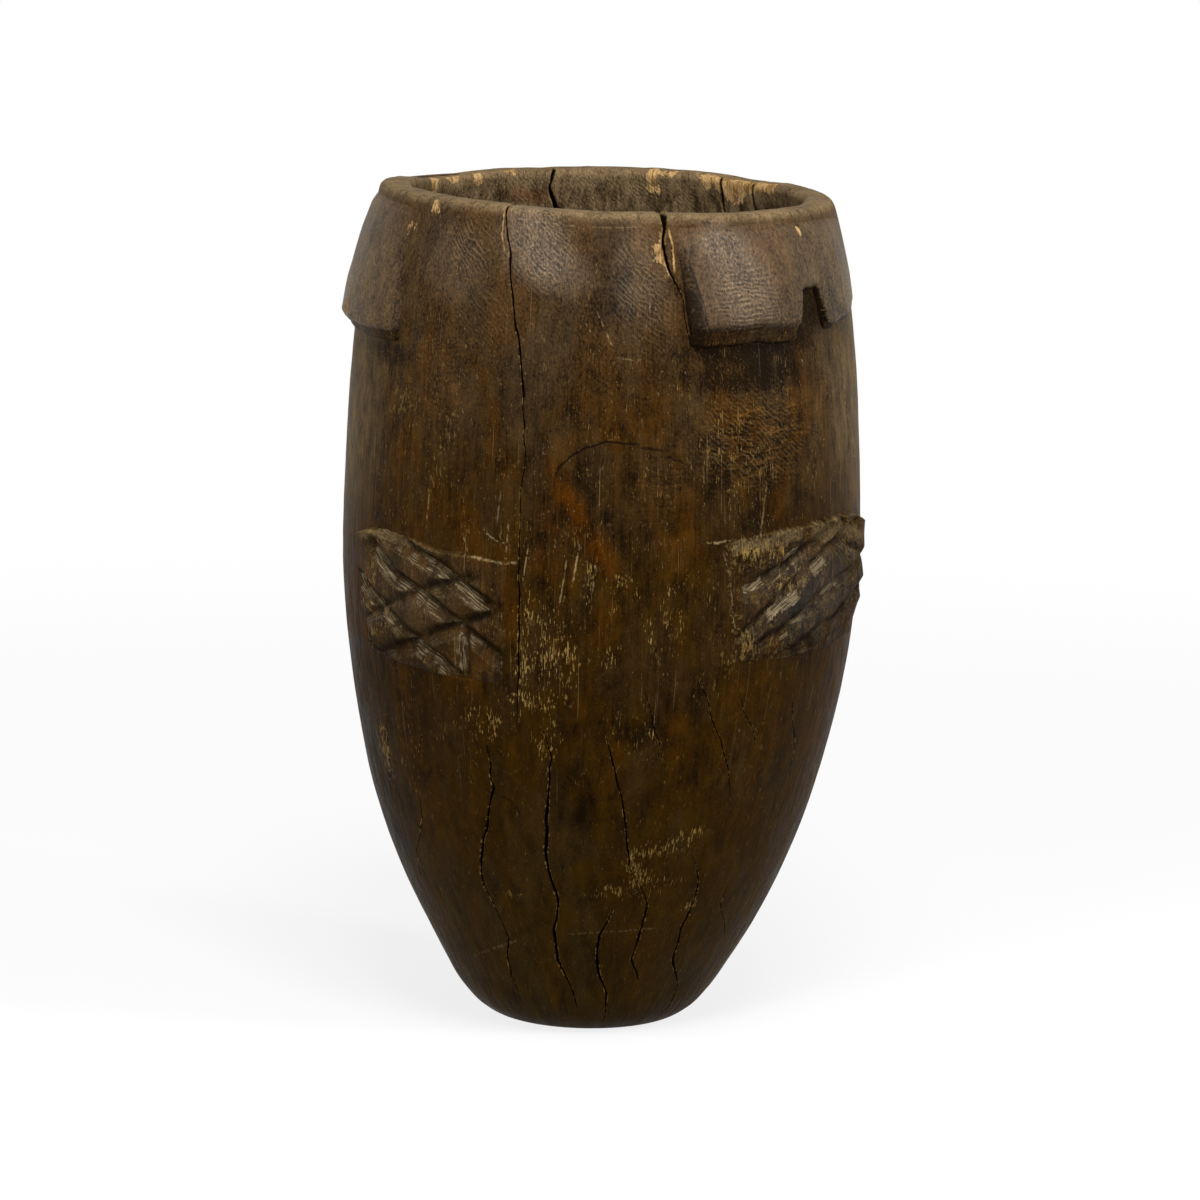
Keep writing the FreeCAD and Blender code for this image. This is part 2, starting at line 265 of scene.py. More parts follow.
# what a fully worn panel has less: shares of its grooves' shade and depth
WORN_PALER = 0.35
WORN_SHALLOWER = 0.25
CHISEL_RISE = 3  # how steeply the chisel's marks come in along a groove's slope
# millimetres from a panel's border over which its wear with painted highlight and its grooves' shade
# come in
WEAR_EDGE = (0.2, 1.0)
SHADE_EDGE = (0.3, 1.4)
PANEL_GLOSS = 0.08
# pale wear with a painted highlight on the grooves' raised edges and along a panel's top edge
PANEL_CREST = 0.35
TOP_EDGE = 0.4
TOP_EDGE_PLACE = 1.5
TOP_EDGE_WIDTH = 1.3

# Surface
LIP_FADE = 6.0
LIP_LENGTH = 20.0  # along the outline, from the rim's outer edge to the inner wall
RIM_BUMPS = ((30.0, 0.5), (9.0, 0.30), (3.5, 0.10))
FOOT_ROUND = 12.0  # the foot stays flat below this height
GRAIN_RADIUS = 125.0
RIPPLE_SLOPE = 38.0
RIPPLE_LENGTH = 2.3

# Mesh bookkeeping
FOOT, OUTER, LIP, INNER = range(4)
FINE_STEPS = 60
LIP_STEPS = 8
LIP_TOP_STEPS = 6
SEEN_INSIDE = 330.0  # height down to which the hollow gets close rows
UV_EDGE = 0.005
UV_SIDE = 0.04
UNSEEN_UV_SHARE = 0.4
BACK_UV_SHARE = 0.3
PANEL_UV = (0.93, 0.94)  # where a panel's front ends on the UV map and its back starts
WALL_SEED, RIM_SEED, FOOT_SEED, LUG_SEED, PANEL_SEED, GROOVE_SEED = 3, 11, 21, 31, 41, 51
PRIMES = (73856093, 19349663, 83492791, 49979687)
RANDOM = np.random.default_rng(7).uniform(-1.0, 1.0, 4093)

# Soft marks: azimuth, height, half width in degrees, half height, lean in degrees a millimetre, and
# strength. A height above the rim's runs on inside, downwards.
MARKS = {
    "bare": (
        (132, 449, 10, 6, 0, 1.0), (139, 453, 5, 9, 0, 0.9), (147, 448, 4, 7, 0, 0.9),
        (122, 447, 3, 5, 0, 0.8), (166, 451, 2.6, 11, 0, 0.8), (160, 447, 3.5, 3, 0, 0.8),
        (-118, 452, 3.2, 8, 0, 0.75), (-138, 450, 2.2, 7, 0, 0.95), (-128, 449, 4, 4, 0, 0.7),
        (-150, 447, 3, 3, 0, 0.7), (53, 422, 0.9, 2.5, 0, 0.8), (-46.0, 429, 1.5, 6, -0.12, 0.85),
        (-54, 419, 2.4, 3.6, 0, 0.8), (-88, 384, 2.2, 4.5, 0, 0.8), (-78, 374, 2.6, 4.5, 0, 0.8),
    ),
    "orange": (
        (-157, 456, 8, 10, 0, 0.8), (-5.5, 286, 3.0, 24, -0.22, 0.95), (-11, 272, 4.0, 24, 0, 0.35),
        (0.5, 266, 3.0, 12, -0.1, 0.45), (15, 285, 6, 20, 0, 0.15), (-40, 345, 7, 26, 0, 0.2),
    ),
    "gold": (
        (-12, 226, 5, 28, 0.03, 0.9), (-7, 209, 4, 14, 0, 0.9), (5, 238, 2.2, 22, 0, 0.9),
        (-2, 250, 1.5, 14, 0, 0.6), (10, 232, 1.6, 20, -0.06, 0.7), (-17, 205, 2, 30, 0, 0.6),
        (2, 214, 4, 6, 0.3, 0.8), (16, 243, 3, 18, 0, 0.6), (-12, 190, 8, 5, 0, 0.9),
        (30, 318, 12, 22, 0, 0.45), (-43, 330, 12, 45, 0, 0.3), (-35, 405, 12, 20, 0, 0.25),
        (19, 110, 9, 5, 0.5, 1.1), (27, 118, 6, 4, 0.6, 0.9), (12, 98, 3, 12, -0.1, 1.0),
        (6, 87, 5, 3, 0.3, 1.0), (16, 88, 5, 8, 0, 0.8), (24, 92, 4, 3, 0, 0.8),
        (2, 84, 9, 1.5, 0.8, 0.6), (-11, 168, 4, 12, 0, 0.7), (-27, 176, 5, 10, 0, 0.8),
        (12, 168, 1.5, 12, 0.1, 0.8), (-60, 148, 3, 20, 0, 0.9), (-23, 82, 4, 2.0, -0.3, 1.2),
        (-63, 150, 3, 14, 0, 0.7), (34, 222, 1.2, 9, 0.05, 1.3), (31, 76, 3, 3, 0.2, 1.4),
        (-50, 150, 6, 30, 0, 0.3), (-57, 225, 6, 24, 0, 1.0), (38, 262, 6, 8, 0, 1.2),
        (33, 267, 5, 5, 0, 1.4), (46, 250, 5, 14, 0.3, 1.0), (34, 215, 3, 8, 0, 1.2),
    ),
    # gloss: polish for the coat and roughness, and a painted sheen in the colour
    "gloss": (
        (-17, 418, 8, 18, -0.1, 1.0), (-10, 404, 7, 12, 0, 0.5), (8, 404, 6, 26, 0, 0.4),
        (-37, 405, 9, 18, 0, 0.3), (27.5, 420, 5, 11, 0, 1.1), (32, 400, 8, 22, 0, 0.7),
        (-45, 240, 14, 24, 0, 0.1), (50, 240, 16, 24, 0, 0.3),
    ),
    "ripple": (
        (-15, 416, 8, 20, 0, 0.9), (8, 405, 6, 26, 0, 0.9), (11, 374, 6, 14, 0, 0.4),
        (-33, 414, 6, 14, 0, 0.9), (-28, 380, 8, 20, 0, 0.3), (32, 392, 8, 17, 0, 1.5),
        (36, 322, 15, 24, 0, 0.5), (68, 262, 8, 12, 0, 0.9), (158, 462, 45, 18, 0, 0.5),
        (-150, 462, 40, 18, 0, 0.5),
    ),
    "figure": (
        (37, 322, 17, 28, 0, 1.0), (12, 300, 8, 22, 0, 0.4), (-40, 350, 12, 40, 0, 0.35),
    ),
    # grey dust, with a painted sheen at the left and right sides
    "dust_and_sheen": (
        (-90, 330, 30, 75, 0, 1.3), (-88, 402, 28, 36, 0, 0.75), (88, 335, 29, 62, 0, 1.1),
        (76, 402, 26, 30, 0, 0.6),
    ),
    # dark: stains, and painted shade in the hollow under the rim, under the lugs, in the right notch,
    # along the right lug's left side and towards the lower left side
    "dark": (
        (1, 406, 5, 13, 0, 0.55), (-1, 386, 9, 10, 0, 0.4), (-3, 345, 9, 26, 0, 0.4),
        (-12, 270, 3, 26, 0, 0.45), (7, 268, 6, 22, 0, 0.35), (-2, 285, 13, 36, 0, 0.25),
        (52, 240, 16, 34, 0, 0.25), (30, 365, 12, 5, 0, 1.2), (45, 368, 10, 7, 0, 1.1),
        (35, 354, 17, 10, 0, 1.05), (-74, 130, 20, 90, 0, 0.35), (30, 300, 14, 34, 0, 0.45),
        (14.5, 378, 2.2, 26, 0.08, 0.6), (52, 384, 7, 14, 0, 1.1), (3, 174, 15, 6, 0, 0.45),
        (-4, 140, 6, 25, 0, 0.4), (22, 150, 9, 20, 0, 0.3), (-56, 356, 10, 6, 0, 0.8),
        (27, 240, 3, 22, 0, 0.4), (54, 228, 16, 26, 0, 0.4),
    ),
}
DENTS = (
    (-5, 395, 12, 38, 0, 1.5), (-124, 441, 17, 10, 0, 2.4), (134, 441, 14, 10, 0, 2.0),
    (6, 88, 3.5, 5, 0, 0.8), (-20, 175, 6, 10, 0, 0.5), (1, 285, 12, 30, 0, 0.6),
)

# Lines on the wall and the panels: half width, strength and the azimuth and height of the line's
# points. A scratch and another scratch may cross.
LINES = {
    # creases: dark lines with painted shade
    "crease": (
        (0.8, 0.9, ((-10.6, 300), (-9.4, 308), (-6.9, 314), (-4.2, 318), (1, 322), (8.9, 320),
                    (14, 315.5), (20, 308))),
        (0.5, 0.7, ((22.1, 377), (21.4, 391), (19.2, 412))),
        (0.7, 0.5, ((-28.3, 140), (-23.7, 137), (-20.7, 135), (-18.5, 131), (-18, 126))),
    ),
    "scratch": (
        (0.45, 0.8, ((-1.8, 387), (0.5, 376), (2.4, 366.6))),
        (0.4, 0.6, ((2.6, 366.6), (5.4, 362), (8.2, 356), (9.9, 349))),
        (0.5, 0.7, ((-5.1, 382), (-3.3, 378), (-2.7, 373))),
        (0.6, 0.8, ((-20.5, 264), (-20.1, 281))),
        (0.6, 1.0, ((-4.6, 271), (-5.8, 251))),
        (0.5, 0.8, ((-7.2, 263), (-8.6, 239))),
        (0.5, 0.8, ((-15.6, 269), (-16.6, 250))),
        (0.5, 0.7, ((-1, 262), (-1.6, 246))),
        (0.45, 0.6, ((26.8, 267), (28.6, 251), (30, 231), (31.9, 217))),
        (0.5, 0.7, ((-40, 300), (-41, 268))),
        (0.45, 0.5, ((-22, 296), (-23, 275))),
        (0.45, 0.6, ((38, 300), (36, 268))),
        (0.9, 0.25, ((-48.6, 38.6), (-33, 49), (-20.7, 57.2))),
        (0.8, 0.25, ((-8.4, 60.8), (6, 63), (23.5, 64.5))),
        (0.9, 1.0, ((-32.5, 262.4), (-25.9, 260), (-21.3, 258.6), (-17.6, 259.8))),
    ),
    "other_scratch": (
        (0.6, 0.8, ((-26.6, 275.5), (-23.2, 270.2), (-19.5, 268))),
        (0.8, 1.0, ((21.6, 271), (25.8, 270.4), (29, 271.8))),
        (0.5, 0.7, ((-31, 272), (-29.5, 262))),
        (0.6, 0.8, ((38.1, 244.7), (42, 252), (46.8, 258))),
        # a pale ledge under the rim: worn, and with a painted highlight
        (0.5, 0.6, ((-23, 428.6), (-19, 428.0), (-12, 427.4), (-6, 427))),
        (0.4, 0.4, ((-5, 427), (2, 427), (11, 428))),
    ),
    "sliver": (
        (0.38, 1.0, ((13.5, 426), (13.1, 418), (13.8, 411), (15.2, 403))),
        (0.65, 1.0, ((15.2, 428), (16.0, 420), (16.2, 412), (16.2, 405))),
        (0.5, 0.9, ((-25.4, 433), (-25.1, 420), (-23.9, 412))),
    ),
    "chip": (
        (2.6, 0.9, ((31.4, 245.0), (34.1, 246.8), (37.2, 250))),
        (3.4, 1.0, ((38.6, 230.5), (42.8, 234.8), (47.4, 240.2))),
        (1.6, 0.7, ((41.9, 259.2), (46.8, 263.6))),
        (3.2, 0.6, ((51.4, 249.5), (56.1, 256.7))),
        (1.2, 0.6, ((45.2, 225.5), (51, 227.9))),
        (2.2, 0.5, ((55.2, 238.3), (61.9, 243.3))),
        (1.0, 0.6, ((42.5, 217.9), (45.4, 220.7))),
    ),
    "dust": (
        (4.2, 0.8, ((28.5, 267.5), (32.2, 268.5), (38, 269), (45.2, 270.5), (49, 272))),
        (5.5, 0.8, ((50, 271), (57, 269.5), (66, 268), (76, 262))),
        (2.4, 0.6, ((-64, 262), (-56, 265), (-46, 263.5), (-37, 260))),
    ),
}
LINE_REACH = 2.5  # half widths from a line at which nothing of it is left
LINE_END = 0.12  # share of a line's length over which its ends fade

# Each panel: its lower and upper border as azimuth and height from left to right, how far it stands
# out from left to right, the depth and the points of its grooves, how far up from the lower border
# it thins out, how worn it is and how much its grooves show the chisel
PANELS = {
    "front_left_grip_panel": {
        "lower": ((-61, 203), (-53, 200), (-43, 198.5), (-31, 195.5), (-20.3, 196.5)),
        "upper": ((-65.5, 263), (-60, 266.5), (-54, 267.5), (-44.6, 266), (-37, 262.5),
                  (-31.5, 262), (-25, 261), (-19.9, 260)),
        "proud": ((-66, 3.6), (-58, 4.6), (-48, 3.8), (-38, 2.2), (-30, 0.7), (-20, 0.2)),
        "grooves": (
            (2.4, ((-56, 270), (-44.5, 262.5), (-36.8, 255.4), (-31.8, 248), (-20, 231.5))),
            (2.6, ((-57, 261), (-48.6, 246.9), (-42.6, 241), (-31.9, 227), (-19, 208))),
            (2.4, ((-62, 241), (-52.8, 229.6), (-49, 223), (-40.5, 211), (-29, 195))),
            (1.6, ((-63, 221), (-58.3, 207), (-50, 198))),
            (1.7, ((-63, 219), (-50, 231.6), (-42, 240.2), (-31.8, 248.5), (-29, 250))),
            (2.3, ((-63, 198), (-45, 212.5), (-38, 219.8), (-26.2, 230.9), (-19, 238))),
            (1.4, ((-29.8, 222), (-29.8, 193))),
        ),
        "fade": 6.0,
        "worn": 0.25,
        "chiselled": 1.0,
    },
    "front_right_grip_panel": {
        "lower": ((30.5, 208), (40, 207), (52, 207.5), (64, 208), (77, 210)),
        "upper": ((26.5, 269), (29.4, 271.5), (36.6, 274), (48.4, 275.5), (62.8, 277), (70, 276),
                  (78, 270)),
        "proud": ((26, 0.3), (33, 0.9), (42, 1.8), (54, 2.8), (66, 4.2), (74, 5.2), (79, 4.5)),
        "grooves": (
            (2.0, ((33, 246), (37.3, 250.8), (44.9, 259.7), (51.1, 265.9), (58, 272))),
            (2.3, ((33, 224), (39.7, 235.6), (45, 246), (48.6, 252.9), (61.1, 264.9), (70, 271))),
            (2.0, ((38, 219), (45.7, 226.1), (51.7, 234.2), (58.9, 241.9), (79, 253))),
            (1.4, ((46, 210), (57, 221), (70, 233), (80, 240))),
            (1.2, ((62, 280), (66, 262), (80, 246))),
        ),
        "fade": 32.0,
        "worn": 0.9,
        "chiselled": 0.3,
    },
    "back_right_grip_panel": {
        "lower": ((119, 203), (130, 202), (145, 203), (164, 205)),
        "upper": ((117, 268), (128, 270), (146, 269), (166, 267)),
        "proud": ((116, 4.2), (126, 4.4), (145, 2.8), (166, 0.8)),
        "grooves": (
            (2.3, ((116, 262), (129, 244), (141, 224), (153, 203), (157, 196))),
            (2.3, ((122, 272), (133, 256), (146, 236), (160, 216), (168, 204))),
            (2.0, ((136, 272), (147, 258), (158, 242), (168, 228))),
            (2.0, ((115, 236), (126, 222), (135, 206), (139, 199))),
            (2.1, ((115, 218), (130, 228), (146, 242), (160, 256), (168, 264))),
            (2.1, ((122, 200), (138, 213), (154, 226), (168, 239))),
            (1.6, ((115, 246), (128, 257), (138, 268), (141, 273))),
        ),
        "fade": 6.0,
        "worn": 0.35,
        "chiselled": 0.9,
    },
    "back_left_grip_panel": {
        "lower": ((-155, 201), (-140, 200), (-126, 200), (-112, 202)),
        "upper": ((-157, 264), (-142, 266), (-126, 267), (-109, 265)),
        "proud": ((-157, 0.8), (-140, 2.6), (-124, 4.2), (-109, 4.4)),
        "grooves": (
            (2.2, ((-158, 250), (-145, 234), (-133, 214), (-125, 199))),
            (2.3, ((-152, 268), (-139, 250), (-125, 229), (-110, 206))),
            (2.2, ((-137, 268), (-125, 252), (-113, 236), (-107, 228))),
            (1.7, ((-158, 224), (-148, 211), (-142, 198))),
            (2.1, ((-159, 232), (-145, 243), (-129, 257), (-118, 268))),
            (2.2, ((-158, 208), (-142, 220), (-126, 233), (-108, 247))),
            (1.8, ((-140, 199), (-126, 210), (-108, 223))),
        ),
        "fade": 20.0,
        "worn": 0.5,
        "chiselled": 0.7,
    },
}


def paint(red, green, blue):
    """A colour as it looks on a screen, 0 to 255, as a shader's colour."""
    parts = np.array([red, green, blue]) / 255.0
    linear = np.where(parts > 0.04045, ((parts + 0.055) / 1.055) ** 2.4, parts / 12.92)
    return (*linear.tolist(), 1.0)


# Colours
WALL_COLOURS = (
    (0.00, paint(50, 34, 3)),
    (0.20, paint(49, 32, 2)),
    (0.40, paint(45, 27, 1)),
    (0.58, paint(47, 29, 3)),
    (0.78, paint(58, 40, 17)),
    (1.00, paint(75, 56, 35)),
)
WARM = paint(59, 34, 2)
GREYED = paint(52, 41, 28)
# painted shade in the ripples' troughs, and dark pits
TROUGH_AND_PIT_BLACK = paint(18, 11, 4)
ORANGE = paint(72, 38, 1)
RED_BROWN = paint(98, 58, 32)
FIGURED = paint(88, 60, 26)
# painted sheen of the polished places
PAINTED_SHEEN = paint(114, 92, 66)
GOLD = paint(158, 128, 72)
INSIDE_DARK = paint(62, 48, 30)
INSIDE_PALE = paint(112, 92, 66)
LIP_COLOUR = paint(114, 95, 68)
# painted highlight on the ripples' crests, and pale nicks that are partly painted glints
CREST = paint(150, 128, 92)
# painted glints on the polished places
GLINT = paint(176, 158, 140)
CHISEL_DARK = paint(52, 40, 20)
# pale chisel cuts and chips, with a painted highlight on the lit slopes
PALE_CUT_AND_HIGHLIGHT = paint(158, 140, 108)
# grey dust, and the painted sheen at the sides
DUST_AND_SHEEN = paint(112, 94, 64)
# pale wear, and a painted highlight on the panels' crests and top edges
PALE_WEAR_AND_HIGHLIGHT = paint(124, 103, 60)
SCRATCHED = paint(172, 148, 104)
BARE_DARK = paint(118, 84, 44)
BARE_PALE = paint(190, 156, 106)
# dirt in cracks, and painted shade in creases, grooves and along the lugs
BLACK_CRACK_AND_SHADE = paint(10, 6, 3)
SPECULAR = 0.01
POLISH = 0.6  # coat of the most polished places
LEAST_POLISH = 0.02
COAT_ROUGHNESS = 0.27
DARKEST = 0.22  # share of its colour that a dark place keeps

# Noises: size across and along the fibres, detail, roughness and warp
NOISES = {
    "blotch": (22.0, 50.0, 3.0, 0.6, 0.0),
    "clusters": (13.0, 30.0, 3.0, 0.6, 0.0),
    "patch": (12.0, 20.0, 3.0, 0.6, 0.6),
    "cloud": (7.0, 15.0, 4.0, 0.65, 0.0),
    "curly": (7.0, 1.9, 3.0, 0.6, 1.0),
    "clumps": (3.0, 4.6, 4.0, 0.7, 0.5),
    "streak": (2.2, 60.0, 3.0, 0.6, 0.2),
    "fibre": (0.7, 16.0, 2.0, 0.6, 0.0),
    "scrape": (0.36, 55.0, 1.0, 0.5, 0.15),
    "hair": (0.38, 4.5, 1.0, 0.5, 0.2),
    "nicks": (0.9, 3.2, 2.0, 0.6, 1.5),
    "grit": (1.1, 1.6, 3.0, 0.65, 0.0),
    "swirl": (13.0, 16.0, 2.0, 0.5, 0.0),
    "curl": (3.0, 3.0, 2.0, 0.5, 0.0),
    "rippled": (3.5, 3.5, 3.0, 0.5, 0.0),
    "broken": (8.0, 8.0, 4.0, 0.6, 0.0),
    "crumbs": (2.6, 3.2, 4.0, 0.7, 1.0),
    "crumbled": (3.0, 2.2, 3.0, 0.5, 0.0),
    "gaps": (2.2, 3.0, 3.0, 0.5, 0.0),
    "lobes": (4.5, 6.0, 4.0, 0.65, 0.0),
}
# the same across and along the chisel's cuts
CHISEL_CUTS = (0.55, 9.0, 3.0, 0.6, 0.3)
CHIP_SPLITS = (0.9, 6.0, 3.0, 0.6, 0.8)

# Stage
FLOOR_REACH = 30000.0
FLOOR_NEAR = 400.0
FLOOR_FAR = 1600.0
FLOOR_WHITE = 0.8
FLOOR_COLOUR = (0.9, 0.9, 0.9, 1.0)
WHITE = (1.0, 1.0, 1.0, 1.0)
FLOOR_DARK = (0.35, 0.35, 0.35, 1.0)  # what the floor is for light that it gives to the pail
WORLD_LIGHT = 0.32
LAMPS = (
    # name, azimuth, elevation, distance, side, watts
    ("front_left", -30.0, 19.0, 2300.0, 400.0, 17.0),
    ("front_right", 68.0, 25.0, 2300.0, 400.0, 22.0),
    ("above", 8.0, 58.0, 2300.0, 900.0, 42.0),
)
CAMERA_AWAY = 2700.0
CAMERA_ELEVATION = 10.0
CAMERA_ROLL = 1.1
CAMERA_ASIDE = 1.3
CAMERA_LOOK = 219.0
FRAME_WIDTH = 628.8  # what the picture's width covers at the pail's axis


def noise(places, size, seed=0):
    """Smooth random values from -1 to 1 at points, with bumps about one size across."""
    grid = places / size
    cell = np.floor(grid).astype(np.int64)
    part = grid - cell
    part = part * part * (3.0 - 2.0 * part)
    total = np.zeros(places.shape[:-1])
    for corner in np.ndindex(2, 2, 2):
        x, y, z = np.moveaxis(cell + corner, -1, 0)
        key = (x * PRIMES[0] ^ y * PRIMES[1] ^ z * PRIMES[2] ^ seed * PRIMES[3]) % len(RANDOM)
        near = np.where(corner, part, 1.0 - part).prod(axis=-1)
        total += RANDOM[key] * near
    return total


def bumps(places, sizes, seed=0):
    """Sum of noises, each with its own size and height."""
    return sum(height * noise(places, size, seed + i) for i, (size, height) in enumerate(sizes))


def ease(low, high, value):
    """0 below low, 1 above high and smooth between them."""
    share = np.clip((value - low) / (high - low), 0.0, 1.0)
    return share * share * (3.0 - 2.0 * share)


def line_at(points, where):
    """Second number of a line of points at a first number."""
    first, second = np.array(points).T
    return np.interp(where, first, second)


def around(azimuth, radius, height):
    """Points in space from azimuth, radius and height."""
    turn, radius, height = np.broadcast_arrays(np.radians(azimuth), radius, height)
    return np.stack([radius * np.sin(turn), -radius * np.cos(turn), height], axis=-1)


def smooth_line(points):
    """Many points on a smooth line through a few (radius, height) points, starting level."""
    places = np.array(points, float)
    steps = np.diff(places, axis=0)
    gaps = np.linalg.norm(steps, axis=1)[:, None]
    slopes = steps / gaps
    tangents = np.vstack([
        [[1.0, 0.0]],
        (slopes[:-1] * gaps[1:] + slopes[1:] * gaps[:-1]) / (gaps[1:] + gaps[:-1]),
        slopes[-1:],
    ])
    line = [places[:1]]
    share = np.linspace(0.0, 1.0, FINE_STEPS + 1)[1:, None]
    for i, gap in enumerate(gaps[:, 0]):
        start = (1 + 2 * share) * (1 - share) ** 2 * places[i]
        leave = share * (1 - share) ** 2 * gap * tangents[i]
        end = share ** 2 * (3 - 2 * share) * places[i + 1]
        arrive = share ** 2 * (share - 1) * gap * tangents[i + 1]
        line.append(start + leave + end + arrive)
    return np.vstack(line)


def barrel_points():
    """Radius and height of the wall's outside, from the foot to the rim."""
    points = [(FOOT_RADIUS, 0.0)]
    points += [(BELLY_RADIUS * r, BELLY_HEIGHT * h) for r, h in BARREL_BELOW]
    points += [(BELLY_RADIUS, BELLY_HEIGHT)]
    drawn_in = BELLY_RADIUS - RIM_RADIUS
    rise = RIM_HEIGHT - BELLY_HEIGHT
    points += [(BELLY_RADIUS - drawn_in * r, BELLY_HEIGHT + rise * h) for r, h in BARREL_ABOVE]
    return points + [(RIM_RADIUS, RIM_HEIGHT)]


def past_the_rim(points):
    """An outline's points with one more, straight on to above the rim."""
    (r0, h0), (r1, h1) = points[-2:]
    return points + [(r1 - (r0 - r1) / (h1 - h0) * ABOVE, h1 + ABOVE)]


def hollow_points():
    """Radius and height of the hollow, from the axis to the rim."""
    points = list(HOLLOW)
    for radius, height in barrel_points():
        if height > LOWEST_WALL:
            wall = LOWER_WALL if height < LOWER_WALL_TOP else WALL
            points.append((radius - wall, height))
    return points


def outside(height):
    """Radius of the wall's outside at a height."""
    return np.interp(height, OUTSIDE[:, 1], OUTSIDE[:, 0])


def inside(height):
    """Radius of the hollow at a height."""
    return np.interp(height, INSIDE[:, 1], INSIDE[:, 0])


def rim_lift(azimuth):
    """How much higher than in front the rim is over an azimuth: its tilt and, behind, a wave."""
    turn = np.radians(azimuth)
    tilt = -RIM_RADIUS * np.sin(turn) * math.tan(math.radians(RIM_TILT))
    return tilt + (RIM_BACK - RIM_WAVE * np.sin(2 * turn)) * (1 - np.cos(turn)) / 2


def evenly(line, step):
    """Points a step apart along a line of (radius, height) points, both ends included."""
    gaps = np.linalg.norm(np.diff(line, axis=0), axis=1)
    along = np.concatenate([[0.0], np.cumsum(gaps)])
    where = np.linspace(0.0, along[-1], round(along[-1] / step) + 1)
    return np.stack([np.interp(where, along, line[:, 0]), np.interp(where, along, line[:, 1])], -1)


def lip():
    """The rounded rim from outside to inside, as (radius, height) points."""
    lean = math.atan2(outside(RIM_HEIGHT - WALL) - RIM_RADIUS, WALL)
    out_height = RIM_HEIGHT - OUTER_LIP
    out_middle = outside(out_height) - OUTER_LIP / math.cos(lean)
    in_height = RIM_HEIGHT - INNER_LIP
    in_middle = inside(in_height) + INNER_LIP / math.cos(lean)
    points = []
    for angle in np.linspace(lean, math.pi / 2, LIP_STEPS):
        points.append((out_middle + OUTER_LIP * math.cos(angle),
                       out_height + OUTER_LIP * math.sin(angle)))
    for radius in np.linspace(out_middle, in_middle, LIP_TOP_STEPS)[1:-1]:
        points.append((radius, RIM_HEIGHT))
    for angle in np.linspace(math.pi / 2, math.pi + lean, LIP_STEPS):
        points.append((in_middle + INNER_LIP * math.cos(angle),
                       in_height + INNER_LIP * math.sin(angle)))
    return np.array(points)


def barrel_rows():
    """Radius, height and side of the body's rows, from the foot's middle to the hollow's."""
    foot = evenly(np.array([(HIDDEN_STEP, 0.0), (FOOT_RADIUS, 0.0)]), HIDDEN_STEP)[:-1]
    rounded = lip()
    wall = evenly(OUTSIDE[OUTSIDE[:, 1] < rounded[0, 1] - WALL_STEP / 2], WALL_STEP)
    hollow = INSIDE[INSIDE[:, 1] < rounded[-1, 1] - WALL_STEP / 2][::-1]
    seen = evenly(hollow[hollow[:, 1] > SEEN_INSIDE], WALL_STEP)
    hidden = evenly(hollow[hollow[:, 1] < SEEN_INSIDE], HIDDEN_STEP)[1:-1]
    pieces = [foot, wall, rounded, seen, hidden]
    sides = np.repeat([FOOT, OUTER, LIP, INNER, INNER], [len(p) for p in pieces])
    return np.vstack(pieces), sides


def tube(name, rings, around_share, along_share, values):
    """A closed piece from rings of points that follow each other, with a fan over both ends.
    The shares place rings and points on the UV map; values are attributes of the points."""
    count, across = rings.shape[:2]
    rings = rings + line_at(BOW, rings[..., 2])[..., None] * np.array([1.0, 0.0, 0.0])
    ends = np.stack([rings[0].mean(axis=0), rings[-1].mean(axis=0)])
    places = np.vstack([rings.reshape(-1, 3), ends]) * MM
    ring, step = np.mgrid[0:count - 1, 0:across]
    after = (step + 1) % across
    quads = np.stack([
        ring * across + step, ring * across + after,
        (ring + 1) * across + after, (ring + 1) * across + step,
    ], axis=-1).reshape(-1, 4)
    point = np.arange(across)
    later = (point + 1) % across
    last = (count - 1) * across
    first_fan = np.stack([later, point, np.full(across, count * across)], -1)
    last_fan = np.stack([last + point, last + later, np.full(across, count * across + 1)], -1)

    left = around_share[step]
    right = around_share[step + 1]
    low = along_share[ring]
    high = along_share[ring + 1]
    quad_uv = np.stack([left, low, right, low, right, high, left, high], -1).reshape(-1, 2)
    left, right = around_share[:-1], around_share[1:]
    middle = (left + right) / 2
    first_uv = np.stack([right, np.full(across, along_share[0]), left,
                         np.full(across, along_share[0]), middle, np.zeros(across)], -1)
    last_uv = np.stack([left, np.full(across, along_share[-1]), right,
                        np.full(across, along_share[-1]), middle, np.ones(across)], -1)

    corners = np.concatenate([quads.ravel(), first_fan.ravel(), last_fan.ravel()])
    sizes = np.concatenate([np.full(len(quads), 4), np.full(2 * across, 3)])
    uv = np.vstack([quad_uv, first_uv.reshape(-1, 2), last_uv.reshape(-1, 2)])
    mesh = bpy.data.meshes.new(name)
    mesh.vertices.add(len(places))
    mesh.vertices.foreach_set("co", places.ravel())
    mesh.loops.add(len(corners))
    mesh.loops.foreach_set("vertex_index", corners)
    mesh.polygons.add(len(sizes))
    mesh.polygons.foreach_set("loop_start", np.concatenate([[0], np.cumsum(sizes)[:-1]]))
    mesh.update(calc_edges=True)
    mesh.uv_layers.new(name="OFBake").data.foreach_set("uv", uv.ravel())
    for title, value in values.items():
        add_attribute(mesh, title, value)
    mesh.shade_smooth()
    piece = bpy.data.objects.new(name, mesh)
    bpy.context.scene.collection.objects.link(piece)
    return piece


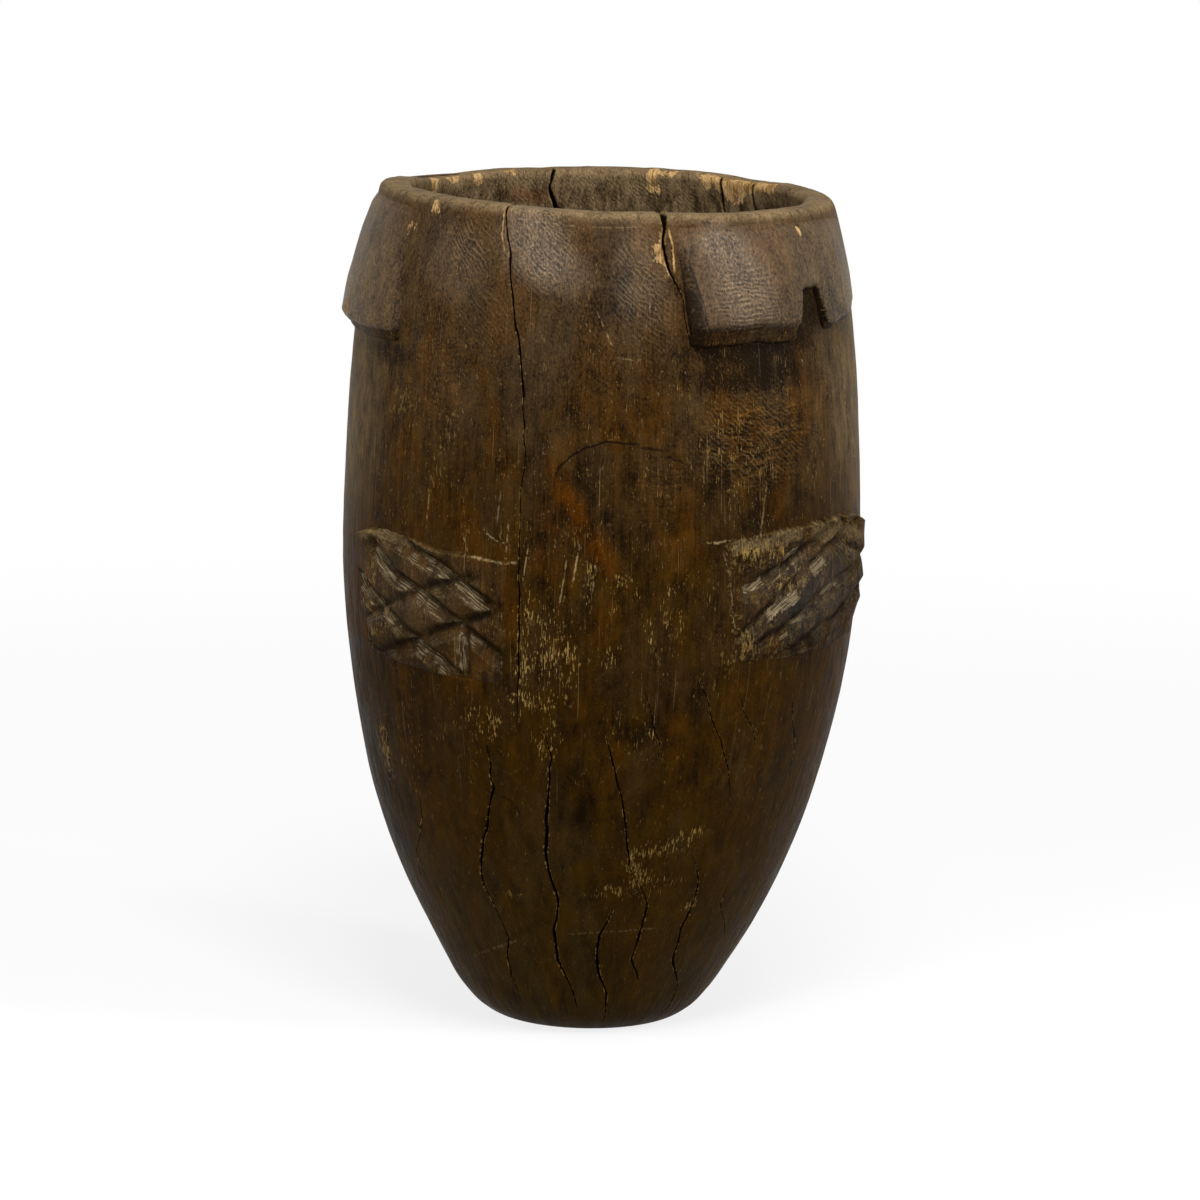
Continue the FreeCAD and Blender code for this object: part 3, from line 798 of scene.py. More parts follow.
def add_attribute(mesh, title, value):
    """Stores a number or a vector for each point; the two end points take their ring's mean."""
    wide = value.ndim == 3
    size = value.shape[-1] if wide else 1
    flat = value.reshape(-1, size)
    across = value.shape[1]
    ends = np.stack([flat[:across].mean(axis=0), flat[-across:].mean(axis=0)])
    kind, key = ("FLOAT_VECTOR", "vector") if wide else ("FLOAT", "value")
    attribute = mesh.attributes.new(title, kind, "POINT")
    attribute.data.foreach_set(key, np.vstack([flat, ends]).astype(np.float32).ravel())


def shares(steps, low, high):
    """Running total of steps, set between two numbers."""
    along = np.concatenate([[0.0], np.cumsum(steps)])
    return low + (high - low) * along / along[-1]


def crack_path(points, path, number):
    """Azimuth and width of a crack where the rows cross it."""
    azimuths, heights, widths = np.array(sorted(points, key=lambda p: p[1]), float).T
    places = np.stack([path, np.full_like(path, number * CRACK_APART), np.zeros_like(path)], -1)
    azimuth = np.interp(path, heights, azimuths) + CRACK_WOBBLE * noise(places, WOBBLE_LENGTH)
    uneven = 1.0 + CRACK_UNEVEN * noise(places, UNEVEN_LENGTH, 1)
    width = CRACK_WIDER * np.interp(path, heights, widths) * uneven
    return azimuth, width


def body_columns(radius, path):
    """Azimuth of every column where nothing bends it, its azimuth on every row, the depth of the
    crack there, how dark it is and how splintered. The columns run along the cracks."""
    lines = sorted(CRACKS.values(), key=lambda points: np.mean([p[0] for p in points]))
    homes = np.array([np.mean([p[0] for p in points]) for points in lines])
    front = np.arange(-FRONT_SIDE, FRONT_SIDE, FRONT_STEP)
    back = np.arange(FRONT_SIDE, 360.0 - FRONT_SIDE, BACK_STEP)
    plain = np.sort((np.concatenate([front, back]) + 180.0) % 360.0 - 180.0)
    clear = np.abs(plain[:, None] - homes).min(axis=1) > CRACK_ROOM
    plain = plain[clear]
    knots_home = [-180.0]
    knots = [np.full_like(path, -180.0)]
    crack_columns = []
    for number, (points, home) in enumerate(zip(lines, homes)):
        azimuth, width = crack_path(points, path, number)
        half = np.maximum(width / 2, CRACK_EDGE)
        turn = np.degrees(half / np.maximum(radius, FOOT_RADIUS))
        knots_home += [home - CRACK_ROOM, home + CRACK_ROOM]
        knots += [azimuth - turn * CRACK_REACH, azimuth + turn * CRACK_REACH]
        depth = np.minimum(width * CRACK_DEPTH, DEEPEST_CRACK)
        dark = np.clip(width / DARK_CRACK, 0.0, 1.0)
        for across, deep, black, fleck in CRACK_COLUMNS:
            place = home + across / CRACK_REACH * CRACK_ROOM
            crack_columns.append((place, azimuth + turn * across, depth * deep, dark * black,
                                  dark * fleck))
    knots_home.append(180.0)
    knots.append(np.full_like(path, 180.0))
    bent = [np.interp(plain, knots_home, row) for row in np.stack(knots, axis=1)]
    home_all = np.concatenate([plain, [column[0] for column in crack_columns]])
    order = np.argsort(home_all)
    nothing = np.zeros((len(path), len(plain)))
    parts = []
    for plain_part, i in ((np.array(bent), 1), (nothing, 2), (nothing, 3), (nothing, 4)):
        in_cracks = np.stack([column[i] for column in crack_columns], axis=1)
        parts.append(np.hstack([plain_part, in_cracks])[:, order])
    return home_all[order], *parts


def marks(spots, azimuth, path):
    """Sum of soft marks."""
    total = np.zeros(azimuth.shape)
    for middle, height, wide, tall, lean, strength in spots:
        up = (path - height) / tall
        aside = (azimuth - middle - lean * (path - height)) / wide
        total += strength * np.exp(-(up ** 2 + aside ** 2) ** 2)
    return total


def beside_line(points, azimuth, height):
    """Signed distance to a line of (azimuth, height) points in millimetres, above 0 over the
    line, and the nearest place's share of the line's length."""
    nearest = np.full(azimuth.shape, np.inf)
    signed = np.zeros(azimuth.shape)
    along = np.zeros(azimuth.shape)
    arc = math.radians(1.0) * BELLY_RADIUS
    parts = len(points) - 1
    for i, ((a0, h0), (a1, h1)) in enumerate(zip(points, points[1:])):
        run = np.array([(a1 - a0) * arc, h1 - h0])
        x = (azimuth - a0) * arc
        y = height - h0
        share = np.clip((x * run[0] + y * run[1]) / (run @ run), 0.0, 1.0)
        apart = np.hypot(x - run[0] * share, y - run[1] * share)
        over = run[0] * y - run[1] * x
        closer = apart < nearest
        nearest = np.where(closer, apart, nearest)
        signed = np.where(closer, np.where(over >= 0, apart, -apart), signed)
        along = np.where(closer, (i + share) / parts, along)
    return signed, along


def nearest_line(lines, azimuth, height):
    """Signed distance to the nearest of some lines, in its half widths, and its strength."""
    beside = np.full(azimuth.shape, np.inf)
    strength = np.zeros(azimuth.shape)
    for half, power, points in lines:
        signed, along = beside_line(points, azimuth, height)
        signed = signed / half
        fade = ease(0.0, LINE_END, along) * ease(1.0, 1.0 - LINE_END, along)
        closer = np.abs(signed) < np.abs(beside)
        beside = np.where(closer, signed, beside)
        strength = np.where(closer, power * fade, strength)
    near = np.abs(beside) < LINE_REACH
    return np.clip(beside, -LINE_REACH, LINE_REACH), strength * near


def surface_marks(azimuth, height):
    """Attributes for the soft marks and the lines on a surface."""
    values = {kind: marks(spots, azimuth, height) for kind, spots in MARKS.items()}
    for kind, lines in LINES.items():
        values[kind], values[kind + "_here"] = nearest_line(lines, azimuth, height)
    return values


def grain(azimuth, path):
    """Where a point lies in the grain: around the log and along its fibres, in millimetres."""
    return around(azimuth, GRAIN_RADIUS, path)


def ripple_phase(azimuth, height, slope):
    """Distance across the tool ripples, whose lines fall to the right by a slope in degrees."""
    turn = math.radians(slope)
    arc = np.radians(azimuth) * BELLY_RADIUS
    return arc * math.sin(turn) + height * math.cos(turn)


def panel_border(shape, share):
    """Lower and upper border points of a panel at shares of its width."""
    ends = []
    for side in ("lower", "upper"):
        line = np.array(shape[side], float)
        azimuth = line[0, 0] + (line[-1, 0] - line[0, 0]) * share
        ends.append(np.stack([azimuth, line_at(line, azimuth)], -1))
    return ends


def inside_panel(shape, azimuth, height):
    """Distance in millimetres to a panel's nearest border, below 0 outside it."""
    left = line_at(((shape["lower"][0][1], shape["lower"][0][0]),
                    (shape["upper"][0][1], shape["upper"][0][0])), height)
    right = line_at(((shape["lower"][-1][1], shape["lower"][-1][0]),
                     (shape["upper"][-1][1], shape["upper"][-1][0])), height)
    aside = np.radians(np.minimum(azimuth - left, right - azimuth)) * BELLY_RADIUS
    up = np.minimum(line_at(shape["upper"], azimuth) - height,
                    height - line_at(shape["lower"], azimuth))
    return np.minimum(aside, up)


def make_body():
    """The barrel: wall, bottom and rim with their cracks."""
    rows, sides = barrel_rows()
    gaps = np.linalg.norm(np.diff(rows, axis=0), axis=1)
    along = np.concatenate([[0.0], np.cumsum(gaps)])
    lip_start = np.argmax(sides == LIP)
    path = np.where(along < along[lip_start], rows[:, 1],
                    rows[lip_start, 1] + along - along[lip_start])
    home, azimuth, crack_depth, crack_dark, flecks = body_columns(rows[:, 0], path)

    lift = rim_lift(azimuth) * ease(TILT_START, RIM_HEIGHT, rows[:, 1])[:, None]
    height = rows[:, 1][:, None] + lift
    side = sides[:, None]
    radius = np.broadcast_to(rows[:, :1], azimuth.shape).copy()
    radius = np.where(side == OUTER, outside(height), radius)
    radius = np.where(side == INNER, inside(height), radius)
    radius = np.where(side == LIP, radius + outside(RIM_HEIGHT + lift) - RIM_RADIUS, radius)

    run = np.gradient(rows, axis=0)
    out = np.stack([run[:, 1], -run[:, 0]], -1) / np.linalg.norm(run, axis=1)[:, None]
    places = around(azimuth, radius, height)
    rim_share = ease(RIM_HEIGHT - LIP_FADE, RIM_HEIGHT, path) * (1 - ease(
        RIM_HEIGHT + LIP_LENGTH, RIM_HEIGHT + LIP_LENGTH + LIP_FADE, path))
    push = bumps(places, WALL_BUMPS, WALL_SEED) * ease(0.0, FOOT_ROUND, height)
    push += bumps(places, RIM_BUMPS, RIM_SEED) * rim_share[:, None]
    push -= marks(DENTS, azimuth, path[:, None])
    for shape in PANELS.values():
        within = inside_panel(shape, azimuth, height)
        push = np.where((side == OUTER) & (within > POCKET_INSET), -PANEL_POCKET, push)
    push -= crack_depth
    shift = around(azimuth, push * out[:, :1], push * out[:, 1:])
    places = places + shift

    wide = azimuth.shape
    path_wide = np.broadcast_to(path[:, None], wide)
    inner = ease(RIM_HEIGHT + LIP_LENGTH / 2, RIM_HEIGHT + LIP_LENGTH, path_wide)
    values = {
        "grain": grain(azimuth, path_wide),
        "crack": crack_dark,
        "flecks": flecks,
        "inner": inner,
        "lip": np.broadcast_to(rim_share[:, None], wide),
        "ripple_phase": ripple_phase(azimuth, path_wide, RIPPLE_SLOPE),
    }
    values.update(surface_marks(azimuth, path_wide))
    steps = np.where(np.isin(sides[1:], (OUTER, LIP)), gaps, gaps * UNSEEN_UV_SHARE)
    edges = np.append(home, home[0] + 360.0)
    around_share = UV_EDGE + (1 - 2 * UV_EDGE) * (edges - edges[0]) / 360.0
    return tube("pail_body", places, around_share, shares(steps, UV_EDGE, 1 - UV_EDGE), values)


def lug_columns(foot_line, notch):
    """Azimuths of a lug's columns, close together where its face turns or its foot ends."""
    corners = np.array([p[0] for p in foot_line])
    near = corners[:, None] + np.array([-CORNER_STEP, 0.0, CORNER_STEP])
    plain = np.arange(corners[0], corners[-1], FRONT_STEP)
    rising = np.arange(0.0, NOTCH_SIDE, NOTCH_STEP)
    every = np.sort(np.concatenate([plain, near.ravel(), notch[0] + rising, notch[1] - rising]))
    every = every[(every >= corners[0]) & (every <= corners[-1])]
    return every[np.concatenate([[True], np.diff(every) > LEAST_STEP])]


def lug_level(shape):
    """Height of the rim over a lug's middle."""
    line = shape["foot_line"]
    return RIM_HEIGHT + rim_lift((line[0][0] + line[-1][0]) / 2)


def notch_share(shape, azimuth):
    """1 in a lug's notch, 0 beside it."""
    near, far = shape["notch"]
    return ease(near, near + NOTCH_SIDE, azimuth) * (1 - ease(far - NOTCH_SIDE, far, azimuth))


def lug_rows(shape, azimuth):
    """Height of a lug's rows and how far they stand out, from the rim down the face, back under its
    foot and up again behind."""
    level = lug_level(shape)
    cut = notch_share(shape, azimuth)
    proud = line_at(shape["foot_line"], azimuth)
    full = line_at(shape["rows"], azimuth)
    foot = level - full + cut * (full - NOTCH_DEPTH)
    foot += bumps(around(azimuth, BELLY_RADIUS, 0.0), FOOT_WAVES, FOOT_SEED)
    start = RIM_HEIGHT + rim_lift(azimuth) - LUG_START
    rows = []
    for share in np.linspace(0.0, 1.0, LUG_ROWS):
        height = start + (foot - start) * share
        below = level - height
        reach = np.where(
            below < LUG_SHOULDER,
            LUG_SHOULDER_SHARE * ease(LUG_START, LUG_SHOULDER, below),
            LUG_SHOULDER_SHARE + (1 - LUG_SHOULDER_SHARE) * (below - LUG_SHOULDER)
            / (full - LUG_SHOULDER))
        rows.append((height, proud * reach - LUG_SINK * (1 - ease(LUG_START, LUG_SHOULDER, below))))
    face_end = rows[-1][1]
    band = line_at(shape["band"], azimuth) * (1 - NOTCH_BAND * cut)
    tuck = face_end * BAND_SHARE
    for down, share in LUG_EDGE:
        rows.append((foot - LUG_ROUND * down, face_end - LUG_ROUND * share))
    for share in np.linspace(BAND_START, 1.0, BAND_ROWS):
        rows.append((foot - LUG_ROUND - (band - LUG_ROUND) * share,
                     face_end - LUG_ROUND + (tuck - face_end + LUG_ROUND) * share))
    low = foot - band
    for down, back in BAND_END:
        rows.append((low - LUG_ROUND * down, tuck - back))
    rows.append((low - LUG_ROUND * UNDER_BAND, np.minimum(SUNK_END, tuck)))
    buried = np.full_like(foot, -BURIED)
    rows += [(low - LUG_ROUND, buried), (start, buried)]
    height, stands = np.moveaxis(np.array(rows), 0, -1)
    return height, stands


def lug_values(shape, azimuth, column, height, stands):
    """Attributes of a lug's points, from the azimuth of its columns at the foot and everywhere."""
    below = lug_level(shape) - height
    face = ease(*FACE_SHOWN, stands)
    row = np.arange(height.shape[1])
    edge = np.exp(-((row - LUG_ROWS - 0.5) / EDGE_ROWS) ** 2)
    under = ease(LUG_ROWS + 1, LUG_ROWS + 4, row)
    turn = np.gradient(line_at(shape["foot_line"], azimuth), azimuth)
    rising = ease(*STEEP_FOOT, np.abs(turn))[:, None]
    near, far = shape["notch"]
    far_foot = ease(near, far, azimuth) * (1 - ease(far + FAR_FOOT[0], far + FAR_FOOT[1], azimuth))
    low_in_place = 1 - ease(0.0, CREASE_PLACE, stands)
    values = surface_marks(column, height)
    values["gloss"] = face * (1 - under) * (shape["gloss"] + values["gloss"])
    in_notch = notch_share(shape, azimuth)[:, None]
    # painted shade on the slanted face under the foot, more in the notch, on the steep sides and on
    # the far foot
    values["dark"] = values["dark"] * (1 - face) + under * (LUG_UNDER + NOTCH_SHADE * in_notch)
    values["dark"] += shape["side"] * rising * ease(*SIDE_FADE, below)
    values["dark"] += shape["far_shade"] * far_foot[:, None] * ease(*FAR_FADE, below)
    values["grain"] = grain(column, height)
    # painted shade in the creases along a lug's steep sides
    values["crack"] = shape["shade"] * rising * low_in_place * ease(*CREASE_FADE, below)
    values["lip"] = LUG_LIP * np.exp(-(below / LUG_LIP_FADE) ** 2)
    values["wear"] = edge[None, :] * ease(0.0, WORN_PLACE, stands) * LUG_WEAR
    values["ripple_phase"] = ripple_phase(column, height, shape["ripple_slope"])
    return values


def make_lug(name, shape):
    """A flap under the rim with two feet and a notch between them."""
    azimuth = lug_columns(shape["foot_line"], shape["notch"])
    height, stands = lug_rows(shape, azimuth)
    full = line_at(shape["rows"], azimuth)[:, None]
    up = np.clip(1 - (lug_level(shape) - height) / full, 0.0, 1.0)
    column = azimuth[:, None] - line_at(shape["lean"], azimuth)[:, None] * up
    shown = np.clip(stands, 0.0, 1.0)
    stands = stands + bumps(around(column, outside(height), height), LUG_BUMPS, LUG_SEED) * shown
    places = around(column, outside(height) + stands, height)
    lengths = np.linalg.norm(np.diff(places, axis=1), axis=2).max(axis=0)
    closing = np.linalg.norm(places[:, -1] - places[:, 0], axis=1).max()
    around_share = shares(np.append(lengths, closing * BACK_UV_SHARE), UV_EDGE, 1 - UV_EDGE)
    along_share = shares(np.diff(azimuth), UV_SIDE, 1 - UV_SIDE)
    values = lug_values(shape, azimuth, column, height, stands)
    return tube(name, places, around_share, along_share, values)


def panel_grooves(shape, azimuth, height):
    """Depth of a panel's grooves, how much their lit slopes show the chisel with a painted highlight,
    the distance across them, their raised edges and their painted shade."""
    worn = shape["worn"]
    places = around(azimuth, BELLY_RADIUS, height)
    ragged = GROOVE_WANDER * (LEAST_WANDER + worn) * noise(places, WANDER_LENGTH, GROOVE_SEED)
    ragged += GROOVE_CHATTER * noise(places, CHATTER_LENGTH, GROOVE_SEED + 1)
    cut, slope, across, crest, dark = np.zeros((5, *azimuth.shape))
    for depth, line in shape["grooves"]:
        falls = line[-1][1] < line[0][1]
        shown = shape["chiselled"] if falls else RISING_CHISELLED
        signed = beside_line(line, azimuth, height)[0] + ragged
        gentle = np.clip(1 + signed / GENTLE, 0.0, 1.0)
        steep = np.clip(1 - signed / STEEP, 0.0, 1.0)
        profile = np.where(signed < 0, gentle, steep) ** GROOVE_CURVE * DEEPER
        deeper = depth * profile > cut
        chisel = np.where(signed < 0, np.minimum(gentle * CHISEL_RISE, 1.0), 0.0) * shown
        slope = np.where(deeper, chisel, slope)
        across = np.where(deeper, signed, across)
        cut = np.maximum(cut, depth * profile)
        crest = np.maximum(crest, np.exp(-((signed + GENTLE * CREST_PLACE) / CREST_WIDTH) ** 2))
        dark = np.maximum(dark, np.exp(-((signed - DARK_PLACE) / DARK_WIDTH) ** 2))
    blotches = noise(places, BLOTCH_LENGTH, GROOVE_SEED + 2)
    blotched = 1 - WORN_PALER * worn + (LEAST_BLOTCHES + worn) * blotches
    return cut, slope, across, crest, dark * np.clip(blotched, 0.0, 1.0)


def panel_height(shape, azimuth, height, edge, cut):
    """How far a panel's front stands out of the wall."""
    worn = shape["worn"]
    stands = line_at(shape["proud"], azimuth)
    stands = stands * ease(THINNED_FROM, shape["fade"], height - line_at(shape["lower"], azimuth))
    stands = stands + bumps(around(azimuth, BELLY_RADIUS, height), PANEL_BUMPS, PANEL_SEED) * (
        LEAST_BUMPS + worn)
    stands = stands - cut * (1 - WORN_SHALLOWER * worn)
    rounding = 1 - (1 - np.clip(edge / PANEL_EDGE, 0.0, 1.0)) ** 2
    stands = -PANEL_SUNK + (stands + PANEL_SUNK) * rounding
    border_floor = np.where(edge < PANEL_STEP / 2, -PANEL_SUNK, PANEL_FLUSH)
    floor = border_floor + (PANEL_LOWEST - border_floor) * ease(
        POCKET_INSET + PANEL_STEP, POCKET_INSET + 2 * PANEL_STEP + FLOOR_SLOPE, edge)
    return np.maximum(stands, floor)


def make_panel(name, shape):
    """A raised block with crossing grooves, each with a long slope below it and a steep one above."""
    wide = math.radians(shape["upper"][-1][0] - shape["upper"][0][0]) * BELLY_RADIUS
    share = np.linspace(0.0, 1.0, round(wide / PANEL_STEP))
    lower, upper = panel_border(shape, share)
    tall = (upper - lower)[:, 1].max()
    down = np.linspace(1.0, 0.0, round(tall / PANEL_STEP))
    grid = lower[:, None, :] + (upper - lower)[:, None, :] * down[None, :, None]
    azimuth, height = grid[..., 0], grid[..., 1]
    edge = np.minimum(np.minimum(share, 1 - share)[:, None] * wide,
                      np.minimum(down, 1 - down)[None, :] * tall)
    cut, slope, across, crest, dark = panel_grooves(shape, azimuth, height)
    stands = panel_height(shape, azimuth, height, edge, cut)
    front = around(azimuth, outside(height) + stands, height)
    low, high = height[:, -1:], height[:, :1]
    column = azimuth[:, :1]
    back = [around(column, outside(h) - BURIED - PANEL_DEEPER, h)
            for h in (low, *(low + (high - low) * part for part in PANEL_BACK), high)]
    places = np.concatenate([front] + back, axis=1)

    # wear with a painted highlight along the grooves' raised edges and the panel's top edge
    top_edge = np.exp(-(((1 - down)[None, :] * tall - TOP_EDGE_PLACE) / TOP_EDGE_WIDTH) ** 2)
    wear = np.clip(crest * PANEL_CREST + top_edge * TOP_EDGE, 0, 1) * ease(*WEAR_EDGE, edge)
    values = surface_marks(azimuth, height)
    values["gloss"] = values["gloss"] + PANEL_GLOSS * (1 - shape["worn"])
    # painted shade in the grooves
    values["crack"] = dark * GROOVE_SHADE * ease(*SHADE_EDGE, edge)
    values["wear"] = wear
    values["chisel"] = slope
    values["chisel_phase"] = across
    values["worn"] = np.full_like(azimuth, shape["worn"])
    values["ripple_phase"] = ripple_phase(azimuth, height, RIPPLE_SLOPE)
    nothing = np.zeros((len(azimuth), len(back)))
    values = {title: np.hstack([value, nothing]) for title, value in values.items()}
    values["grain"] = grain(np.hstack([azimuth] + [column] * len(back)),
                            np.hstack([height, low, low, high, high]))
    around_share = np.concatenate([
        np.linspace(UV_EDGE, PANEL_UV[0], len(down)),
        np.linspace(PANEL_UV[1], 1 - UV_EDGE, len(back) + 1)])
    return tube(name, places, around_share, np.linspace(UV_SIDE, 1 - UV_SIDE, len(share)), values)


class Graph:
    """Adds nodes to a material and gives back their outputs."""

    def __init__(self, owner):
        owner.use_nodes = True
        self.tree = owner.node_tree
        self.tree.nodes.clear()

    def add(self, kind, inputs, output=0, **settings):
        node = self.tree.nodes.new(kind)
        for key, value in settings.items():
            setattr(node, key, value)
        for key, value in inputs.items():
            if isinstance(value, bpy.types.NodeSocket):
                self.tree.links.new(value, node.inputs[key])
            else:
                node.inputs[key].default_value = value
        return node.outputs[output] if node.outputs else None

    def number(self, name):
        """A number stored on the mesh."""
        return self.add("ShaderNodeAttribute", {}, 2, attribute_name=name)

    def vector(self, name):
        """A vector stored on the mesh."""
        return self.add("ShaderNodeAttribute", {}, 1, attribute_name=name)

    def math(self, operation, first, second=0.0):
        return self.add("ShaderNodeMath", {0: first, 1: second}, operation=operation)

    def product(self, *values):
        """All values multiplied."""
        total = values[0]
        for value in values[1:]:
            total = self.math("MULTIPLY", total, value)
        return total

    def total(self, *values):
        """All values added."""
        result = values[0]
        for value in values[1:]:
            result = self.math("ADD", result, value)
        return result

    def larger(self, first, second):
        return self.math("MAXIMUM", first, second)

    def ease(self, value, low, high, start=0.0, end=1.0):
        """A smooth rise from start at low to end at high."""
        inputs = {0: value, 1: low, 2: high, 3: start, 4: end}
        return self.add("ShaderNodeMapRange", inputs, interpolation_type="SMOOTHSTEP")

    def mix(self, share, first, second):
        """Two colours mixed."""
        inputs = {0: share, 6: first, 7: second}
        return self.add("ShaderNodeMix", inputs, 2, data_type="RGBA", clamp_factor=True)

    def uneven(self, value, strength):
        """How far a noise is from its middle, times a strength."""
        return self.product(self.math("SUBTRACT", value, 0.5), strength)

    def noise(self, places, around, along, detail, roughness, warp):
        """Noise in the grain, 0 to 1, with bumps of a size across and along the fibres."""
        inputs = {"Vector": places, "Scale": (1 / around, 1 / around, 1 / along)}
        scaled = self.add("ShaderNodeMapping", inputs)
        inputs = {"Vector": scaled, "Scale": 1.0, "Detail": detail, "Roughness": roughness,
                  "Distortion": warp}
        return self.add("ShaderNodeTexNoise", inputs)

    def ramp(self, value, stops):
        """Colours by value, from (place, colour) stops."""
        output = self.add("ShaderNodeValToRGB", {0: value})
        colours = output.node.color_ramp.elements
        for place, colour in stops[2:]:
            colours.new(place)
        for element, (place, colour) in zip(colours, stops):
            element.position = place
            element.color = colour
        return output

    def seen(self):
        """1 for what the camera sees, also in a reflection or through glass."""
        path = self.add("ShaderNodeLightPath", {}).node.outputs
        mirrored = self.larger(path["Is Glossy Ray"], path["Is Transmission Ray"])
        return self.larger(path["Is Camera Ray"], mirrored)


class Wood(Graph):
    """A wooden surface with its noises and the numbers of its mesh. Colours are laid one over the
    other."""

    def __init__(self, material):
        super().__init__(material)
        self.grain = self.vector("grain")
        self.height = self.add("ShaderNodeSeparateXYZ", {0: self.grain}, 2)
        for title, sizes in NOISES.items():
            setattr(self, title, self.noise(self.grain, *sizes))
        for title in ("crack", "inner", "lip", "wear", "worn", "gloss", "orange", "bare"):
            setattr(self, title, self.number(title))
        self.figured = self.number("figure")
        self.fibrous = self.product(self.ease(self.height, 90.0, 250.0, 0.12, 1.0),
                                    self.ease(self.height, 430.0, 320.0, 0.2, 1.0))
        self.leathery = self.ease(self.height, 290.0, 390.0, 0.3, 1.0)

    def lay(self, share, colour):
        """Lays a colour over the ones before it."""
        self.colour = self.mix(share, self.colour, colour)

    def line(self, name, sharp, wander):
        """1 on the lines of a kind, 0 beside them, sharper edges for a higher share."""
        beside = self.math("ABSOLUTE", self.total(self.number(name), wander))
        return self.product(self.ease(beside, 1.0, sharp), self.number(name + "_here"))


def paint_log(w):
    """The log's browns by height with warm, grey and rust patches, the inside, the lip, a painted
    sheen on the polished places, and dust with a painted sheen at the sides.
    """
    wandering = w.total(w.height, w.uneven(w.blotch, 90.0))
    w.colour = w.ramp(w.math("DIVIDE", wandering, RIM_HEIGHT), WALL_COLOURS)
    w.lay(w.product(w.ease(w.blotch, 0.47, 0.60), w.ease(w.height, 110.0, 240.0, 0.25, 0.75),
                    w.ease(w.height, 310.0, 400.0, 1.0, 0.45)), WARM)
    w.lay(w.product(w.ease(w.blotch, 0.50, 0.38), w.leathery, 0.6), GREYED)
    w.lay(w.product(w.orange, w.ease(w.cloud, 0.22, 0.52)), ORANGE)
    w.lay(w.product(w.figured, w.ease(w.curly, 0.52, 0.66), 0.45), FIGURED)
    inside = w.mix(w.ease(w.cloud, 0.28, 0.68), INSIDE_DARK, INSIDE_PALE)
    w.lay(w.inner, w.mix(w.product(w.orange, 0.7), inside, RED_BROWN))
    w.lay(w.product(w.lip, 0.9), LIP_COLOUR)
    # painted sheen where the wood is polished
    w.lay(w.product(w.math("MINIMUM", w.gloss, 1.2), 0.45), PAINTED_SHEEN)
    w.lay(w.product(w.worn, w.ease(w.cloud, 0.5, 0.38), 0.5), GREYED)
    # grey dust, with a painted sheen at the left and right sides
    w.lay(w.product(w.number("dust_and_sheen"), w.ease(w.cloud, 0.3, 0.6, 0.5, 1.0), 0.5), DUST_AND_SHEEN)


def shade_log(w):
    """Lighter and darker places of every size, with stains and painted shade from the dark marks, and
    painted sparkle on the polished places.
    """
    light = w.total(
        1.0,
        w.product(w.uneven(w.cloud, 2.0), w.ease(w.height, 60.0, 220.0, 0.5, 1.0)),
        w.product(w.uneven(w.patch, 1.8), w.ease(w.height, 310.0, 400.0, 1.0, 0.5)),
        w.product(w.fibrous, w.total(w.uneven(w.streak, 1.1), w.uneven(w.fibre, 1.0))),
        w.product(w.figured, w.uneven(w.curly, 3.6)),
        w.product(w.leathery, w.uneven(w.grit, 2.4)),
        # painted sparkle on the polished places
        w.product(w.math("MINIMUM", w.gloss, 1.0), w.uneven(w.grit, 2.4)),
        w.uneven(w.grit, 0.5),
        # stains and painted shade from the dark marks
        w.product(w.number("dark"), -0.75),
    )
    light = w.larger(light, DARKEST)
    w.colour = w.add("ShaderNodeVectorMath", {0: w.colour, 3: light}, operation="SCALE")


def paint_flecks(w):
    """Golden wood where the dark crust has worn through, long fine scratches and small pale nicks,
    partly painted glints.
    """
    gold = w.number("gold")
    through = w.total(w.product(gold, 0.15), w.uneven(w.clumps, 0.8), w.uneven(w.hair, 1.0),
                      w.uneven(w.grit, 0.35), w.product(w.uneven(w.clusters, 0.6), w.fibrous))
    golden = w.product(w.ease(through, 0.24, 0.33), w.ease(gold, 0.0, 0.7, 0.35, 0.8))
    w.lay(w.product(golden, w.ease(w.height, 60.0, 200.0, 0.8, 1.0)), GOLD)
    w.scraped = w.product(w.ease(w.scrape, 0.70, 0.76), w.ease(w.streak, 0.48, 0.60), w.fibrous)
    w.lay(w.product(w.scraped, 0.5), SCRATCHED)
    # pale nicks, partly painted glints
    w.nicked = w.product(w.ease(w.nicks, 0.67, 0.72), w.ease(w.height, 190.0, 290.0, 0.1, 1.0))
    w.lay(w.product(w.nicked, 0.55), CREST)


def paint_ripples(w):
    """The adze's ripples, with a painted highlight on their crests and painted shade in their
    troughs, and painted glints on the polished places.
    """
    swirl = w.total(w.product(w.swirl, 22.0), w.product(w.curl, 5.0))
    w.wave = w.math("SINE", w.total(
        w.product(w.number("ripple_phase"), 2 * math.pi / RIPPLE_LENGTH), swirl))
    w.ripple = w.product(w.larger(w.number("ripple"), w.product(w.leathery, 0.08)),
                         w.ease(w.rippled, 0.38, 0.58))
    # painted highlight on the ripples' crests and painted shade in their troughs
    w.lay(w.product(w.ease(w.wave, 0.4, 1.0), w.ripple, 0.34), CREST)
    w.lay(w.product(w.ease(w.wave, -0.3, -1.0), w.ripple, 0.35), TROUGH_AND_PIT_BLACK)
    # painted glints on the polished places
    painted_glints = w.product(w.ease(w.grit, 0.56, 0.70), w.ease(w.cloud, 0.42, 0.58),
                       w.ease(w.gloss, 0.5, 1.3))
    w.lay(w.product(painted_glints, 0.5), GLINT)


